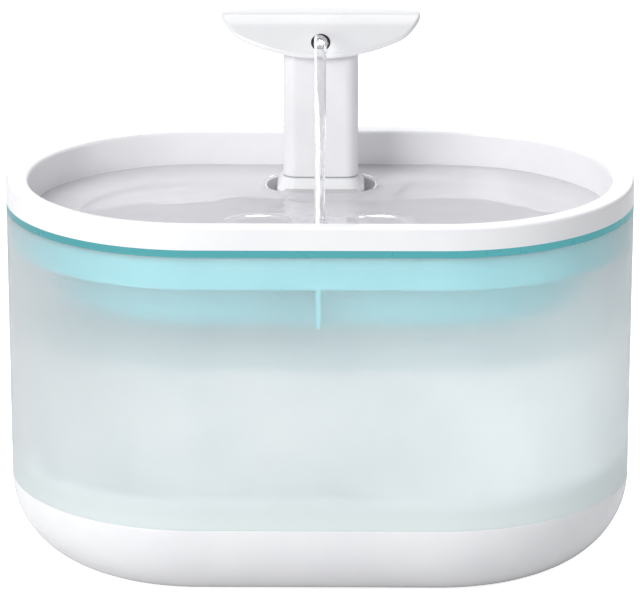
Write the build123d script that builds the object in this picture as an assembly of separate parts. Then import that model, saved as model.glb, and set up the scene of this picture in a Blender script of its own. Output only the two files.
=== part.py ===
from build123d import *
import os
from math import cos, radians, sin

# Pet water fountain: a capsule-shaped tank on a white power base. A submersible pump fed by
# a coil in the base lifts the water through a riser into the spout, from where it falls into
# the drinking tray, drains round the spout's foot, passes the filter and returns to the tank.
# Origin: on the ground, under the middle of the capsule plan. +Z up, -Y to the drinker.

# ---------------------------------------------------------------- whole body
LENGTH = 225.0  # along X
DEPTH = 140.0  # along Y
SLIDE_GAP = 0.3  # between loose plastic parts that lift out of each other
BORE_GAP = 0.05  # radial, shaft in bore
SEAM_BREAK = 0.4  # small round along visible seams
OVERRUN = 1.0  # how far a bore or a boss runs past the face it meets

# ---------------------------------------------------------------- base
BASE_HEIGHT = 30.3
BASE_ROUND = 30.0  # round of the bowl's lower edge
BASE_WALL = 2.5
FOOT_PROUD = 1.0
FOOT_RADIUS = 6.5
FOOT_SUNK = 0.6
FOOT_FROM_END = 56.5
FOOT_FROM_SIDE = 50.0
DECK_THICKNESS = 2.5
DECK_EDGE = 1.3  # wall left beside the deck
ISLAND_HEIGHT = 2.0
COVER_INSET = 37.0
COVER_FLANGE = 1.2
COVER_LEDGE = 4.0
COVER_THICKNESS = 2.5
SCREW_X = 34.0
SCREW_FROM_SIDE = 49.0
SCREW_BOSS_RADIUS = 3.5
SCREW_RADIUS = 1.3
SCREW_LENGTH = 11.0
SCREW_HEAD_RADIUS = 2.8
SCREW_HEAD_HEIGHT = 1.4
SCREW_PILOT_SPARE = 1.0  # free depth of the pilot hole past the screw's tip
CROSS_WIDTH = 0.9
CROSS_LENGTH = 3.4
CROSS_DEPTH = 0.7
INLET_X = 28.0
INLET_Z = 20.0  # above the underside of the base
INLET_SET_BACK = 5.2
INLET_RECESS_RADIUS = 6.0
INLET_BARREL_RADIUS = 4.8
INLET_BOSS_RADIUS = 8.0
INLET_BORE_RADIUS = 2.8
INLET_BORE_DEPTH = 9.0
INLET_PIN_RADIUS = 1.0
INLET_PIN_SET_BACK = 1.0
INLET_LENGTH = 14.0
INLET_FLANGE_RADIUS = 7.0
INLET_FLANGE_THICKNESS = 1.5
INLET_WALL = 7.0  # length of the boss that holds the barrel
GASKET_THICKNESS = 0.8
BOARD_LENGTH = 56.0
BOARD_WIDTH = 36.0
BOARD_THICKNESS = 1.6
BOARD_POST_X = 24.0
BOARD_POST_Y = 14.0
BOARD_POST_RADIUS = 2.4
BOARD_POST_HEIGHT = 6.0
BOARD_PARTS = [  # x, y, half length, half width, height
    (-6.0, 2.0, 5.0, 5.0, 1.4),
    (10.0, 6.0, 4.0, 3.0, 1.8),
    (12.0, -9.0, 6.0, 4.5, 4.0),
    (-18.0, -5.0, 3.5, 3.5, 3.0),
]
CAPACITOR_X = -17.0
CAPACITOR_Y = 8.0
CAPACITOR_RADIUS = 4.0
CAPACITOR_HEIGHT = 9.0
COIL_X = -14.5
COIL_RADIUS = 20.5
COIL_INNER_RADIUS = 8.0
COIL_THICKNESS = 2.2
FERRITE_THICKNESS = 2.0
HOLDER_WALL = 1.5

# ---------------------------------------------------------------- tank
TANK_HEIGHT = 99.7
TANK_WALL = 2.4
TANK_FLOOR = 2.5
TANK_SKIRT = 2.7  # height of the recess under the tank's floor
TANK_INNER_ROUND = 5.0

# ---------------------------------------------------------------- filter tray
BAND_HEIGHT = 2.6
SKIRT_DEPTH = 12.0  # below the tank's top edge
TRAY_WALL = 2.0
BOWL_DEPTH = 32.0  # below the tank's top edge
BOWL_INSET = 18.0
BOWL_ROUND = 8.0
FRONT_RIB_WIDTH = 1.6
FRONT_RIB_ABOVE_BOWL = 6.0
GUIDE_HEIGHT = 3.4
GUIDE_WALL = 1.7
SLEEVE_RADIUS = 9.6
SLEEVE_WALL = 1.6
SLEEVE_HEIGHT = 15.0
FILTER_RIB_HEIGHT = 1.5
FILTER_RIB_WIDTH = 2.0
FILTER_RIB_LENGTH = 110.0
FILTER_RIB_Y = 22.0
DRAIN_SLOT_LENGTH = 14.0
DRAIN_SLOT_WIDTH = 2.5
DRAIN_PITCH_X = 20.0
DRAIN_PITCH_Y = 9.0
DRAIN_COLUMNS = 6
DRAIN_ROWS = 4

# ---------------------------------------------------------------- filter cartridge
FRAME_GAP = 1.5
FRAME_WALL = 1.6
FRAME_HEIGHT = 12.0
FRAME_ROUND = 2.0
FRAME_FLOOR = 1.2
FRAME_SLOT_WIDTH = 3.0
FRAME_SLOT_LENGTH = 20.0
FRAME_PITCH_X = 26.0
FRAME_PITCH_Y = 8.0
FRAME_COLUMNS = 6
FRAME_ROWS = 5
NOTCH_GAP = 1.0
MEDIA_HEIGHT = 7.0
CLOTH_HEIGHT = 3.0

# ---------------------------------------------------------------- drinking tray
RIM_HEIGHT = 7.8
RIM_WIDTH = 7.9
RIM_WALL = 2.4
RIM_OUTER_ROUND = 1.2
RIM_INNER_ROUND = 1.5
BASIN_DEPTH = 17.0
BASIN_ROUND = 5.0
POCKET_DEPTH = 5.0
POCKET_INSET = 25.0
POCKET_ROUND = 9.0
TRAY_FLOOR = 2.4
WEIR_WIDTH = 40.0  # opening round the spout's foot
WEIR_DEPTH = 26.4
WEIR_WALL = 1.6
WEIR_BELOW_RIM = 14.0
WEIR_LAND = 8.0  # shelf kept round the weir
WEIR_ROUND = 11.9
BRIDGE_WIDTH = 12.0

# ---------------------------------------------------------------- spout
SPOUT_FROM_BACK = 31.0  # spout's axis to the back of the body
COLUMN_WIDTH = 27.4
COLUMN_DEPTH = 19.4
COLUMN_ROUND = 5.0
COLUMN_WALL = 2.0
JOINT_BELOW_RIM = 9.7
FOOT_FLARE_WIDTH = 32.0
FOOT_FLARE_DEPTH = 24.4
FOOT_FLARE_ROUND = 6.5
FOOT_FLARE_HEIGHT = 4.2
TENON_WIDTH = 21.6
TENON_DEPTH = 14.0
TENON_ROUND = 3.0
TENON_LENGTH = 8.7
TENON_GAP = 0.1
HEAD_WIDTH = 72.4
HEAD_BACK = 11.0  # behind the spout's axis, at the middle
HEAD_FRONT = 13.6  # ahead of the spout's axis, at the middle
HEAD_TOP = 50.2  # above the rim
HEAD_THICKNESS = 2.2
HEAD_FLAT = 8.0
HEAD_BEND = 14.0
HEAD_SLOPE = 49.0
HEAD_BACK_BOW = 5.0
HEAD_FRONT_BOW = 7.6
HEAD_SIDE_ROUND = 11.0
HEAD_BACK_ROUND = 1.5
HEAD_EDGE_ROUND = 0.8
OUTLET_RADIUS = 3.5
OUTLET_FROM_FRONT = 4.6  # along the slope, from the head's front edge
OUTLET_SEAL_WALL = 0.6
DUCT_RADIUS = 2.9
DUCT_WALL = 1.3
DUCT_BEND = 8.0

# ---------------------------------------------------------------- pump
SUCTION_FOOT_HEIGHT = 2.5
SUCTION_FOOT_RADIUS = 4.2
SUCTION_STEM_RADIUS = 1.5
SUCTION_ROUND = 0.8
SUCTION_CUP_RADIUS = 2.9
SUCTION_CUP_TOP_RADIUS = 1.0
SUCTION_CUP_DEPTH = 1.25
SUCTION_FOOT_Y = 9.25  # from the spout's axis
PUMP_BACK = 36.0  # housing behind the spout's axis, along -X
PUMP_FRONT = 7.0
PUMP_WIDTH = 37.0
PUMP_HEIGHT = 37.0
PUMP_WALL = 2.0
PUMP_ROUND = 4.0
PUMP_CAP_THICKNESS = 2.0
PUMP_CAP_PLUG = 1.2
PUMP_AXIS = 20.0  # above the cap
COIL_BAY_HEIGHT = 5.4
RECEIVER_INNER_RADIUS = 7.0
RECEIVER_THICKNESS = 2.2
WELL_RADIUS = 7.0
WELL_WALL = 1.0
WELL_DEPTH = 23.0
CHAMBER_RADIUS = 12.5
CHAMBER_BACK = 7.0
STATOR_RADIUS = 14.5
STATOR_LENGTH = 14.0
STATOR_BACK = 25.0
SLOT_DEPTH = 4.0
SLOT_WIDTH = 6.0
WINDING_OVERHANG = 1.2
WINDING_GAP = 0.1
MAGNET_RADIUS = 6.5
MAGNET_LENGTH = 19.0
MAGNET_BACK = 27.0
SHAFT_RADIUS = 1.25
BUSH_RADIUS = 2.6
BUSH_LENGTH = 2.0
BUSH_SEAT = 1.5
IMPELLER_RADIUS = 10.5
IMPELLER_HUB_RADIUS = 3.6
IMPELLER_DISC = 1.4
IMPELLER_BLADE = 1.4
IMPELLER_BLADES = 6
IMPELLER_BACK = 5.0
IMPELLER_LENGTH = 9.0
VOLUTE_PLATE = 2.0
VOLUTE_SPIGOT = 1.5
EYE_RADIUS = 6.0
SPIDER_WIDTH = 1.6
SPIDER_ARMS = 3
OUTLET_BORE_RADIUS = 4.0
NIPPLE_RADIUS = 5.4
NIPPLE_HEIGHT = 8.0
RISER_RADIUS = 7.0
RISER_TOP_INTO_TRAY = 9.0
RISER_SOCKET_WALL = 1.9
RISER_SOCKET_DROP = 7.0
ORING_WIDTH = 1.6
ORING_DEPTH = 0.8
ORING_BELOW_TOP = 3.0
COVER_SHELL_LENGTH = 20.0
COVER_SHELL_WALL = 1.6
COVER_SPIGOT_LENGTH = 3.0
COVER_SLOTS = 6
COVER_SLOT_WIDTH = 2.4
COVER_SLOT_PITCH = 4.8
COVER_SLOT_LENGTH = 24.0

# ---------------------------------------------------------------- places worked out
FOOT_X = LENGTH / 2 - FOOT_FROM_END
FOOT_Y = DEPTH / 2 - FOOT_FROM_SIDE
SCREW_Y = DEPTH / 2 - SCREW_FROM_SIDE
SPOUT_Y = DEPTH / 2 - SPOUT_FROM_BACK
BASE_Z = FOOT_PROUD
SEAM_Z = BASE_Z + BASE_HEIGHT
TANK_TOP_Z = SEAM_Z + TANK_HEIGHT
BAND_TOP_Z = TANK_TOP_Z + BAND_HEIGHT
RIM_TOP_Z = BAND_TOP_Z + RIM_HEIGHT
DECK_Z = SEAM_Z - DECK_THICKNESS
COVER_TOP_Z = BASE_Z + COVER_THICKNESS
TANK_FLOOR_Z = SEAM_Z + TANK_SKIRT + TANK_FLOOR
SHELF_Z = TANK_TOP_Z - SKIRT_DEPTH
BOWL_Z = TANK_TOP_Z - BOWL_DEPTH
BOWL_FLOOR_Z = BOWL_Z + TRAY_WALL
FRAME_Z = BOWL_FLOOR_Z + FILTER_RIB_HEIGHT
BASIN_Z = RIM_TOP_Z - BASIN_DEPTH
BASIN_UNDER_Z = BASIN_Z - TRAY_FLOOR
POCKET_Z = BASIN_Z - POCKET_DEPTH
TRAY_UNDER_Z = POCKET_Z - TRAY_FLOOR
WEIR_Z = RIM_TOP_Z - WEIR_BELOW_RIM
JOINT_Z = RIM_TOP_Z - JOINT_BELOW_RIM
FLARE_Z = JOINT_Z - FOOT_FLARE_HEIGHT
TENON_Z = JOINT_Z - TENON_LENGTH
HEAD_TOP_Z = RIM_TOP_Z + HEAD_TOP
PUMP_CAP_Z = TANK_FLOOR_Z + SUCTION_FOOT_HEIGHT
PUMP_Z = PUMP_CAP_Z + PUMP_CAP_THICKNESS
PUMP_TOP_Z = PUMP_Z + PUMP_HEIGHT
AXIS_Z = PUMP_Z + PUMP_AXIS
NIPPLE_TOP_Z = PUMP_TOP_Z + NIPPLE_HEIGHT
RISER_SOCKET_Z = TRAY_UNDER_Z - RISER_SOCKET_DROP
RISER_TOP_Z = RISER_SOCKET_Z + RISER_TOP_INTO_TRAY
ORING_Z = RISER_TOP_Z - ORING_BELOW_TOP - ORING_WIDTH


# ---------------------------------------------------------------- shared shapes
def capsule(inset):
    """Plan of the body, drawn in by inset."""
    return SlotOverall(LENGTH - 2 * inset, DEPTH - 2 * inset)


def raised(plan, low, high):
    """A plan pulled up from one height to another."""
    return Pos(0, 0, low) * extrude(plan, high - low)


def capsule_block(inset, low, high, lower_round=0):
    """A capsule-shaped block with its lower edge rounded."""
    body = raised(capsule(inset), low, high)
    if lower_round > 0:
        body = fillet(body.edges().group_by(Axis.Z)[0], lower_round)
    return body


def rod_x(radius, start, end, y, z):
    """A rod along X."""
    return Pos((start + end) / 2, y, z) * Rot(0, 90, 0) * Cylinder(radius, end - start)


def rod_y(radius, start, end, x, z):
    """A rod along Y."""
    return Pos(x, (start + end) / 2, z) * Rot(90, 0, 0) * Cylinder(radius, end - start)


def rod_z(radius, start, end, x, y):
    """A rod along Z."""
    return Pos(x, y, (start + end) / 2) * Cylinder(radius, end - start)


def block(x0, x1, y0, y1, z0, z1):
    """A box between six planes."""
    middle = Pos((x0 + x1) / 2, (y0 + y1) / 2, (z0 + z1) / 2)
    return middle * Box(x1 - x0, y1 - y0, z1 - z0)


def corners(x, y):
    """The four mirrored places of a point."""
    return [(sx * x, sy * y) for sx in (-1, 1) for sy in (-1, 1)]


def slot_bank(length, width, columns, rows, pitch_x, pitch_y, low, high):
    """Rows of long holes, centred on the axis, as cutting solids."""
    places = [
        (pitch_x * (column - (columns - 1) / 2), pitch_y * (row - (rows - 1) / 2))
        for column in range(columns)
        for row in range(rows)
    ]
    plan = Sketch() + [Pos(x, y) * SlotOverall(length, width) for x, y in places]
    return raised(plan, low, high)


# ---------------------------------------------------------------- base
INLET_AXIS_Z = BASE_Z + INLET_Z
INLET_FACE_Y = DEPTH / 2 - INLET_SET_BACK
INLET_BOSS_Y = INLET_FACE_Y - INLET_WALL


def base_shell():
    """White bowl with a rear boss for the power inlet and an opening for its cover."""
    outer = capsule_block(0, BASE_Z, SEAM_Z, BASE_ROUND)
    outer = fillet(outer.edges().group_by(Axis.Z)[-1], SEAM_BREAK)
    hollow = capsule_block(
        BASE_WALL, BASE_Z + BASE_WALL, SEAM_Z, BASE_ROUND - BASE_WALL
    )
    boss = rod_y(INLET_BOSS_RADIUS, INLET_BOSS_Y, DEPTH / 2, INLET_X, INLET_AXIS_Z)
    shell = outer - hollow + (boss & outer)
    shell -= capsule_block(DECK_EDGE, DECK_Z, SEAM_Z)
    shell -= raised(capsule(COVER_INSET), BASE_Z, BASE_Z + COVER_FLANGE)
    shell -= raised(capsule(COVER_INSET + COVER_LEDGE), BASE_Z, BASE_Z + 2 * BASE_WALL)
    inlet_start = INLET_BOSS_Y - OVERRUN
    inlet_end = DEPTH / 2 + OVERRUN
    barrel_bore = INLET_BARREL_RADIUS + BORE_GAP
    shell -= rod_y(barrel_bore, inlet_start, inlet_end, INLET_X, INLET_AXIS_Z)
    return shell - rod_y(INLET_RECESS_RADIUS, INLET_FACE_Y, inlet_end, INLET_X, INLET_AXIS_Z)


def base_deck():
    """Lid of the base: a plate with the island that centres the tank, and screw bosses."""
    plate = capsule_block(DECK_EDGE + BORE_GAP, DECK_Z, SEAM_Z)
    island = raised(capsule(TANK_WALL + SLIDE_GAP), SEAM_Z, SEAM_Z + ISLAND_HEIGHT)
    island = fillet(island.edges().group_by(Axis.Z)[-1], ISLAND_HEIGHT / 2)
    deck = plate + island
    pilot_top = BASE_Z + SCREW_HEAD_HEIGHT + SCREW_LENGTH + SCREW_PILOT_SPARE
    for x, y in corners(SCREW_X, SCREW_Y):
        deck += rod_z(SCREW_BOSS_RADIUS, COVER_TOP_Z, DECK_Z, x, y)
    for x, y in corners(SCREW_X, SCREW_Y):
        deck -= rod_z(SCREW_RADIUS + BORE_GAP, COVER_TOP_Z, pilot_top, x, y)
    return deck


def bottom_cover():
    """Plate that closes the base from below, with sunk seats for screws and feet."""
    flange_inset = COVER_INSET + BORE_GAP
    cover = raised(capsule(flange_inset), BASE_Z, BASE_Z + COVER_FLANGE)
    cover += raised(capsule(flange_inset + COVER_LEDGE), BASE_Z, COVER_TOP_Z)
    for x, y in corners(BOARD_POST_X, BOARD_POST_Y):
        cover += rod_z(BOARD_POST_RADIUS, COVER_TOP_Z, COVER_TOP_Z + BOARD_POST_HEIGHT, x, y)
    for x, y in corners(SCREW_X, SCREW_Y):
        cover -= rod_z(SCREW_RADIUS + BORE_GAP, BASE_Z, COVER_TOP_Z, x, y)
        cover -= rod_z(SCREW_HEAD_RADIUS + SLIDE_GAP, BASE_Z, BASE_Z + SCREW_HEAD_HEIGHT, x, y)
    for x, y in corners(FOOT_X, FOOT_Y):
        cover -= rod_z(FOOT_RADIUS + BORE_GAP, BASE_Z, BASE_Z + FOOT_SUNK, x, y)
    return cover


def base_screws():
    """Four self-tapping screws with cross recesses, driven from below."""
    seat = BASE_Z + SCREW_HEAD_HEIGHT
    screw = rod_z(SCREW_RADIUS, seat, seat + SCREW_LENGTH, 0, 0)
    screw += rod_z(SCREW_HEAD_RADIUS, BASE_Z, seat, 0, 0)
    for length, width in ((CROSS_LENGTH, CROSS_WIDTH), (CROSS_WIDTH, CROSS_LENGTH)):
        screw -= raised(Rectangle(length, width), BASE_Z, BASE_Z + CROSS_DEPTH)
    return Compound(children=[Pos(x, y) * screw for x, y in corners(SCREW_X, SCREW_Y)])


def foot_pad(x, y):
    """Round silicone pad with a soft lower edge."""
    pad = rod_z(FOOT_RADIUS, 0, BASE_Z + FOOT_SUNK, x, y)
    return fillet(pad.edges().group_by(Axis.Z)[0], FOOT_PROUD / 2)


def power_socket():
    """Barrel jack with its centre pin and a flange inside the base."""
    back = INLET_FACE_Y - INLET_LENGTH
    flange_front = INLET_BOSS_Y - GASKET_THICKNESS
    jack = rod_y(INLET_BARREL_RADIUS, back, INLET_FACE_Y, INLET_X, INLET_AXIS_Z)
    flange_back = flange_front - INLET_FLANGE_THICKNESS
    jack += rod_y(INLET_FLANGE_RADIUS, flange_back, flange_front, INLET_X, INLET_AXIS_Z)
    bore_end = INLET_FACE_Y - INLET_BORE_DEPTH
    jack -= rod_y(INLET_BORE_RADIUS, bore_end, INLET_FACE_Y, INLET_X, INLET_AXIS_Z)
    pin_end = INLET_FACE_Y - INLET_PIN_SET_BACK
    return jack + rod_y(INLET_PIN_RADIUS, bore_end - OVERRUN, pin_end, INLET_X, INLET_AXIS_Z)


def socket_gasket():
    """Flat ring that seals the jack's flange against the boss."""
    start = INLET_BOSS_Y - GASKET_THICKNESS
    ring = rod_y(INLET_FLANGE_RADIUS, start, INLET_BOSS_Y, INLET_X, INLET_AXIS_Z)
    barrel_bore = INLET_BARREL_RADIUS + BORE_GAP
    return ring - rod_y(barrel_bore, start, INLET_BOSS_Y, INLET_X, INLET_AXIS_Z)


def control_board():
    """Circuit board on the cover's posts, with its larger parts."""
    low = COVER_TOP_Z + BOARD_POST_HEIGHT
    top = low + BOARD_THICKNESS
    board = block(-BOARD_LENGTH / 2, BOARD_LENGTH / 2, -BOARD_WIDTH / 2, BOARD_WIDTH / 2, low, top)
    for x, y, half_x, half_y, height in BOARD_PARTS:
        board += block(x - half_x, x + half_x, y - half_y, y + half_y, top, top + height)
    capacitor_top = top + CAPACITOR_HEIGHT
    return board + rod_z(CAPACITOR_RADIUS, top, capacitor_top, CAPACITOR_X, CAPACITOR_Y)


def transmitter_coil():
    """Flat winding under the deck that feeds the pump."""
    coil = rod_z(COIL_RADIUS, DECK_Z - COIL_THICKNESS, DECK_Z, COIL_X, SPOUT_Y)
    return coil - rod_z(COIL_INNER_RADIUS, DECK_Z - COIL_THICKNESS, DECK_Z, COIL_X, SPOUT_Y)


FERRITE_TOP_Z = DECK_Z - COIL_THICKNESS
FERRITE_Z = FERRITE_TOP_Z - FERRITE_THICKNESS


def ferrite_plate():
    """Round ferrite backing of the transmitter coil."""
    return rod_z(COIL_RADIUS, FERRITE_Z, FERRITE_TOP_Z, COIL_X, SPOUT_Y)


def coil_holder():
    """Cup glued under the deck that carries the coil and its ferrite."""
    low = FERRITE_Z - HOLDER_WALL
    outer_radius = COIL_RADIUS + SLIDE_GAP + HOLDER_WALL
    cup = rod_z(outer_radius, low, DECK_Z, COIL_X, SPOUT_Y)
    return cup - rod_z(COIL_RADIUS + SLIDE_GAP, FERRITE_Z, DECK_Z, COIL_X, SPOUT_Y)


# ---------------------------------------------------------------- tank
def tank():
    """Frosted shell whose walls run down past its floor and stand on the base."""
    shell = capsule_block(0, SEAM_Z, TANK_TOP_Z)
    shell = fillet(shell.edges().group_by(Axis.Z)[0], SEAM_BREAK)
    shell -= capsule_block(TANK_WALL, TANK_FLOOR_Z, TANK_TOP_Z, TANK_INNER_ROUND)
    return shell - capsule_block(TANK_WALL, SEAM_Z, SEAM_Z + TANK_SKIRT)


# ---------------------------------------------------------------- filter tray and cartridge
SKIRT_INSET = TANK_WALL + SLIDE_GAP
SLEEVE_OUTER = SLEEVE_RADIUS + SLEEVE_WALL


def filter_tray():
    """Teal insert: a flange on the tank's edge, a skirt, a shelf and a bowl with drains."""
    skirt_inner = SKIRT_INSET + TRAY_WALL
    body = capsule_block(0, TANK_TOP_Z, BAND_TOP_Z)
    body += capsule_block(SKIRT_INSET, SHELF_Z, TANK_TOP_Z)
    body -= capsule_block(skirt_inner, SHELF_Z + TRAY_WALL, BAND_TOP_Z)
    bowl = capsule_block(BOWL_INSET, BOWL_Z, SHELF_Z + TRAY_WALL, BOWL_ROUND)
    body += bowl
    body -= capsule_block(
        BOWL_INSET + TRAY_WALL, BOWL_FLOOR_Z, SHELF_Z + TRAY_WALL, BOWL_ROUND - TRAY_WALL
    )
    guide_outer = RIM_WALL + SLIDE_GAP
    guide = raised(capsule(guide_outer), BAND_TOP_Z, BAND_TOP_Z + GUIDE_HEIGHT)
    guide -= raised(capsule(guide_outer + GUIDE_WALL), BAND_TOP_Z, BAND_TOP_Z + GUIDE_HEIGHT)
    body += guide
    body += block(
        -FRONT_RIB_WIDTH / 2, FRONT_RIB_WIDTH / 2,
        SKIRT_INSET - DEPTH / 2, BOWL_INSET + TRAY_WALL / 2 - DEPTH / 2,
        BOWL_Z + FRONT_RIB_ABOVE_BOWL, SHELF_Z + TRAY_WALL / 2,
    )
    sleeve_top = BOWL_Z + SLEEVE_HEIGHT
    body += rod_z(SLEEVE_OUTER, BOWL_Z + TRAY_WALL / 2, sleeve_top, 0, SPOUT_Y) & bowl
    body -= rod_z(SLEEVE_RADIUS, BOWL_FLOOR_Z, sleeve_top, 0, SPOUT_Y)
    body -= rod_z(RISER_RADIUS + SLIDE_GAP, BOWL_Z, BOWL_FLOOR_Z, 0, SPOUT_Y)
    for side in (-1, 1):
        y = side * FILTER_RIB_Y
        body += block(
            -FILTER_RIB_LENGTH / 2, FILTER_RIB_LENGTH / 2,
            y - FILTER_RIB_WIDTH / 2, y + FILTER_RIB_WIDTH / 2, BOWL_FLOOR_Z, FRAME_Z,
        )
    return body - slot_bank(
        DRAIN_SLOT_LENGTH, DRAIN_SLOT_WIDTH, DRAIN_COLUMNS, DRAIN_ROWS,
        DRAIN_PITCH_X, DRAIN_PITCH_Y, BOWL_Z, BOWL_FLOOR_Z,
    )


def cartridge_plan(inset):
    """Plan of the cartridge, drawn in by inset, with the notch for the sleeve."""
    outline = capsule(BOWL_INSET + TRAY_WALL + FRAME_GAP + inset)
    return outline - Pos(0, SPOUT_Y) * Circle(SLEEVE_OUTER + NOTCH_GAP + inset)


def filter_frame():
    """Open frame with a slotted floor that holds the filter media."""
    frame = raised(cartridge_plan(0), FRAME_Z, FRAME_Z + FRAME_HEIGHT)
    frame = fillet(frame.edges().group_by(Axis.Z)[0], FRAME_ROUND)
    frame -= raised(cartridge_plan(FRAME_WALL), FRAME_Z + FRAME_FLOOR, FRAME_Z + FRAME_HEIGHT)
    return frame - slot_bank(
        FRAME_SLOT_LENGTH, FRAME_SLOT_WIDTH, FRAME_COLUMNS, FRAME_ROWS,
        FRAME_PITCH_X, FRAME_PITCH_Y, FRAME_Z, FRAME_Z + FRAME_FLOOR,
    )


MEDIA_Z = FRAME_Z + FRAME_FLOOR
CLOTH_Z = MEDIA_Z + MEDIA_HEIGHT


def filter_media():
    """Bed of carbon and resin granules."""
    return raised(cartridge_plan(FRAME_WALL + SLIDE_GAP), MEDIA_Z, CLOTH_Z)


def filter_cloth():
    """Non-woven pad over the granules."""
    return raised(cartridge_plan(FRAME_WALL + SLIDE_GAP), CLOTH_Z, CLOTH_Z + CLOTH_HEIGHT)


# ---------------------------------------------------------------- drinking tray
def around_spout(plan):
    """A plan moved onto the spout's axis."""
    return Pos(0, SPOUT_Y) * plan


def weir_plan(growth):
    """Plan of the opening round the spout's foot, grown on all sides."""
    depth = WEIR_DEPTH + 2 * growth
    return around_spout(RectangleRounded(WEIR_WIDTH + 2 * growth, depth, WEIR_ROUND + growth))


def pocket_block(growth, low, high):
    """The deep part of the basin, kept clear of the weir, as a block grown sideways."""
    outline = capsule(POCKET_INSET - growth) - weir_plan(WEIR_WALL + WEIR_LAND - growth)
    pocket = raised(outline, low, high)
    upright = pocket.edges().filter_by(Axis.Z).group_by(Axis.Y)[-1]
    beside_land = upright.sort_by(lambda edge: abs(edge.center().X))[:2]
    return fillet(beside_land, POCKET_ROUND)


def column_plan(inset):
    """Plan of the spout's column, drawn in by inset."""
    width = COLUMN_WIDTH - 2 * inset
    return around_spout(RectangleRounded(width, COLUMN_DEPTH - 2 * inset, COLUMN_ROUND - inset))


def foot_flare():
    """Foot of the spout socket, widening from the joint down to the floor."""
    low = around_spout(RectangleRounded(FOOT_FLARE_WIDTH, FOOT_FLARE_DEPTH, FOOT_FLARE_ROUND))
    flare = loft([Pos(0, 0, FLARE_Z) * low, Pos(0, 0, JOINT_Z) * column_plan(0)], ruled=True)
    return flare + raised(low, BASIN_UNDER_Z, FLARE_Z)


def tenon_plan(growth):
    """Plan of the spout's tenon, grown on all sides."""
    width = TENON_WIDTH + 2 * growth
    return around_spout(RectangleRounded(width, TENON_DEPTH + 2 * growth, TENON_ROUND + growth))


def drinking_tray():
    """White basin with a hollow rim, a deep pocket, a weir and the spout socket."""
    basin_outer = RIM_WIDTH - RIM_WALL
    body = capsule_block(0, BAND_TOP_Z, RIM_TOP_Z)
    body = fillet(body.edges().group_by(Axis.Z)[-1], RIM_OUTER_ROUND)
    body += capsule_block(basin_outer, BASIN_UNDER_Z, BAND_TOP_Z, BASIN_ROUND / 2)
    body += pocket_block(TRAY_FLOOR, TRAY_UNDER_Z, BASIN_Z)
    channel = raised(capsule(RIM_WALL), BAND_TOP_Z, RIM_TOP_Z - RIM_WALL)
    body -= channel - raised(capsule(basin_outer), BAND_TOP_Z, RIM_TOP_Z)
    body -= capsule_block(RIM_WIDTH, BASIN_Z, RIM_TOP_Z, BASIN_ROUND)
    rim = body.faces().sort_by(Axis.Z)[-1]
    body = body.fillet(RIM_INNER_ROUND, rim.inner_wires()[0].edges())
    body -= pocket_block(0, POCKET_Z, BASIN_Z)
    body += raised(weir_plan(WEIR_WALL), BASIN_UNDER_Z, WEIR_Z)
    body -= raised(weir_plan(0), BASIN_UNDER_Z, WEIR_Z)
    body += foot_flare()
    bridge = around_spout(Rectangle(BRIDGE_WIDTH, WEIR_DEPTH + WEIR_WALL))
    body += raised(bridge, BASIN_UNDER_Z, BASIN_Z)
    riser_bore = RISER_RADIUS + BORE_GAP
    body += rod_z(riser_bore + RISER_SOCKET_WALL, RISER_SOCKET_Z, BASIN_Z, 0, SPOUT_Y)
    body -= raised(tenon_plan(TENON_GAP), TENON_Z, JOINT_Z)
    body -= rod_z(riser_bore, RISER_SOCKET_Z, RISER_TOP_Z, 0, SPOUT_Y)
    return body - rod_z(OUTLET_BORE_RADIUS, RISER_TOP_Z, TENON_Z, 0, SPOUT_Y)


# ---------------------------------------------------------------- spout
HEAD_BACK_Y = SPOUT_Y + HEAD_BACK
HEAD_FRONT_Y = SPOUT_Y - HEAD_FRONT
BEND_Y = HEAD_BACK_Y - HEAD_FLAT
BEND_Z = HEAD_TOP_Z - HEAD_BEND
SLOPE = radians(HEAD_SLOPE)
SLOPE_RUN = HEAD_TOP_Z  # length of slope drawn before the head is trimmed


def below_head(depth):
    """Side view of all the space more than depth under the head's top surface."""
    radius = HEAD_BEND - depth
    crest = (BEND_Y, BEND_Z + radius)
    middle = (BEND_Y - radius * sin(SLOPE / 2), BEND_Z + radius * cos(SLOPE / 2))
    end = (BEND_Y - radius * sin(SLOPE), BEND_Z + radius * cos(SLOPE))
    toe = (end[0] - SLOPE_RUN * cos(SLOPE), end[1] - SLOPE_RUN * sin(SLOPE))
    back = (HEAD_BACK_Y + SLOPE_RUN, crest[1])
    outline = Polyline(toe, (back[0], toe[1]), back, crest)
    outline += ThreePointArc(crest, middle, end)
    outline += Line(end, toe)
    side = Plane.YZ * make_face(outline)
    return extrude(side, HEAD_WIDTH, both=True)


def slope_point(from_front, depth):
    """A place on the slope, measured up from the head's front edge and down into it."""
    end_y = BEND_Y - HEAD_BEND * sin(SLOPE)
    end_z = BEND_Z + HEAD_BEND * cos(SLOPE)
    y = HEAD_FRONT_Y + from_front * cos(SLOPE)
    z = end_z + (y - end_y) * sin(SLOPE) / cos(SLOPE)
    return Vector(0, y + depth * sin(SLOPE), z - depth * cos(SLOPE))


def head_plan():
    """Plan of the head: a bowed back, straight sides and a rounded, bowed front."""
    half = HEAD_WIDTH / 2
    back_corner = HEAD_BACK_Y - HEAD_BACK_BOW
    front_corner = HEAD_FRONT_Y + HEAD_FRONT_BOW
    outline = ThreePointArc((half, back_corner), (0, HEAD_BACK_Y), (-half, back_corner))
    outline += Line((-half, back_corner), (-half, front_corner))
    outline += ThreePointArc((-half, front_corner), (0, HEAD_FRONT_Y), (half, front_corner))
    outline += Line((half, front_corner), (half, back_corner))
    plan = make_face(outline)
    plan = fillet(plan.vertices().group_by(Axis.Y)[0], HEAD_SIDE_ROUND)
    return fillet(plan.vertices().group_by(Axis.Y)[-1], HEAD_BACK_ROUND)


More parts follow.
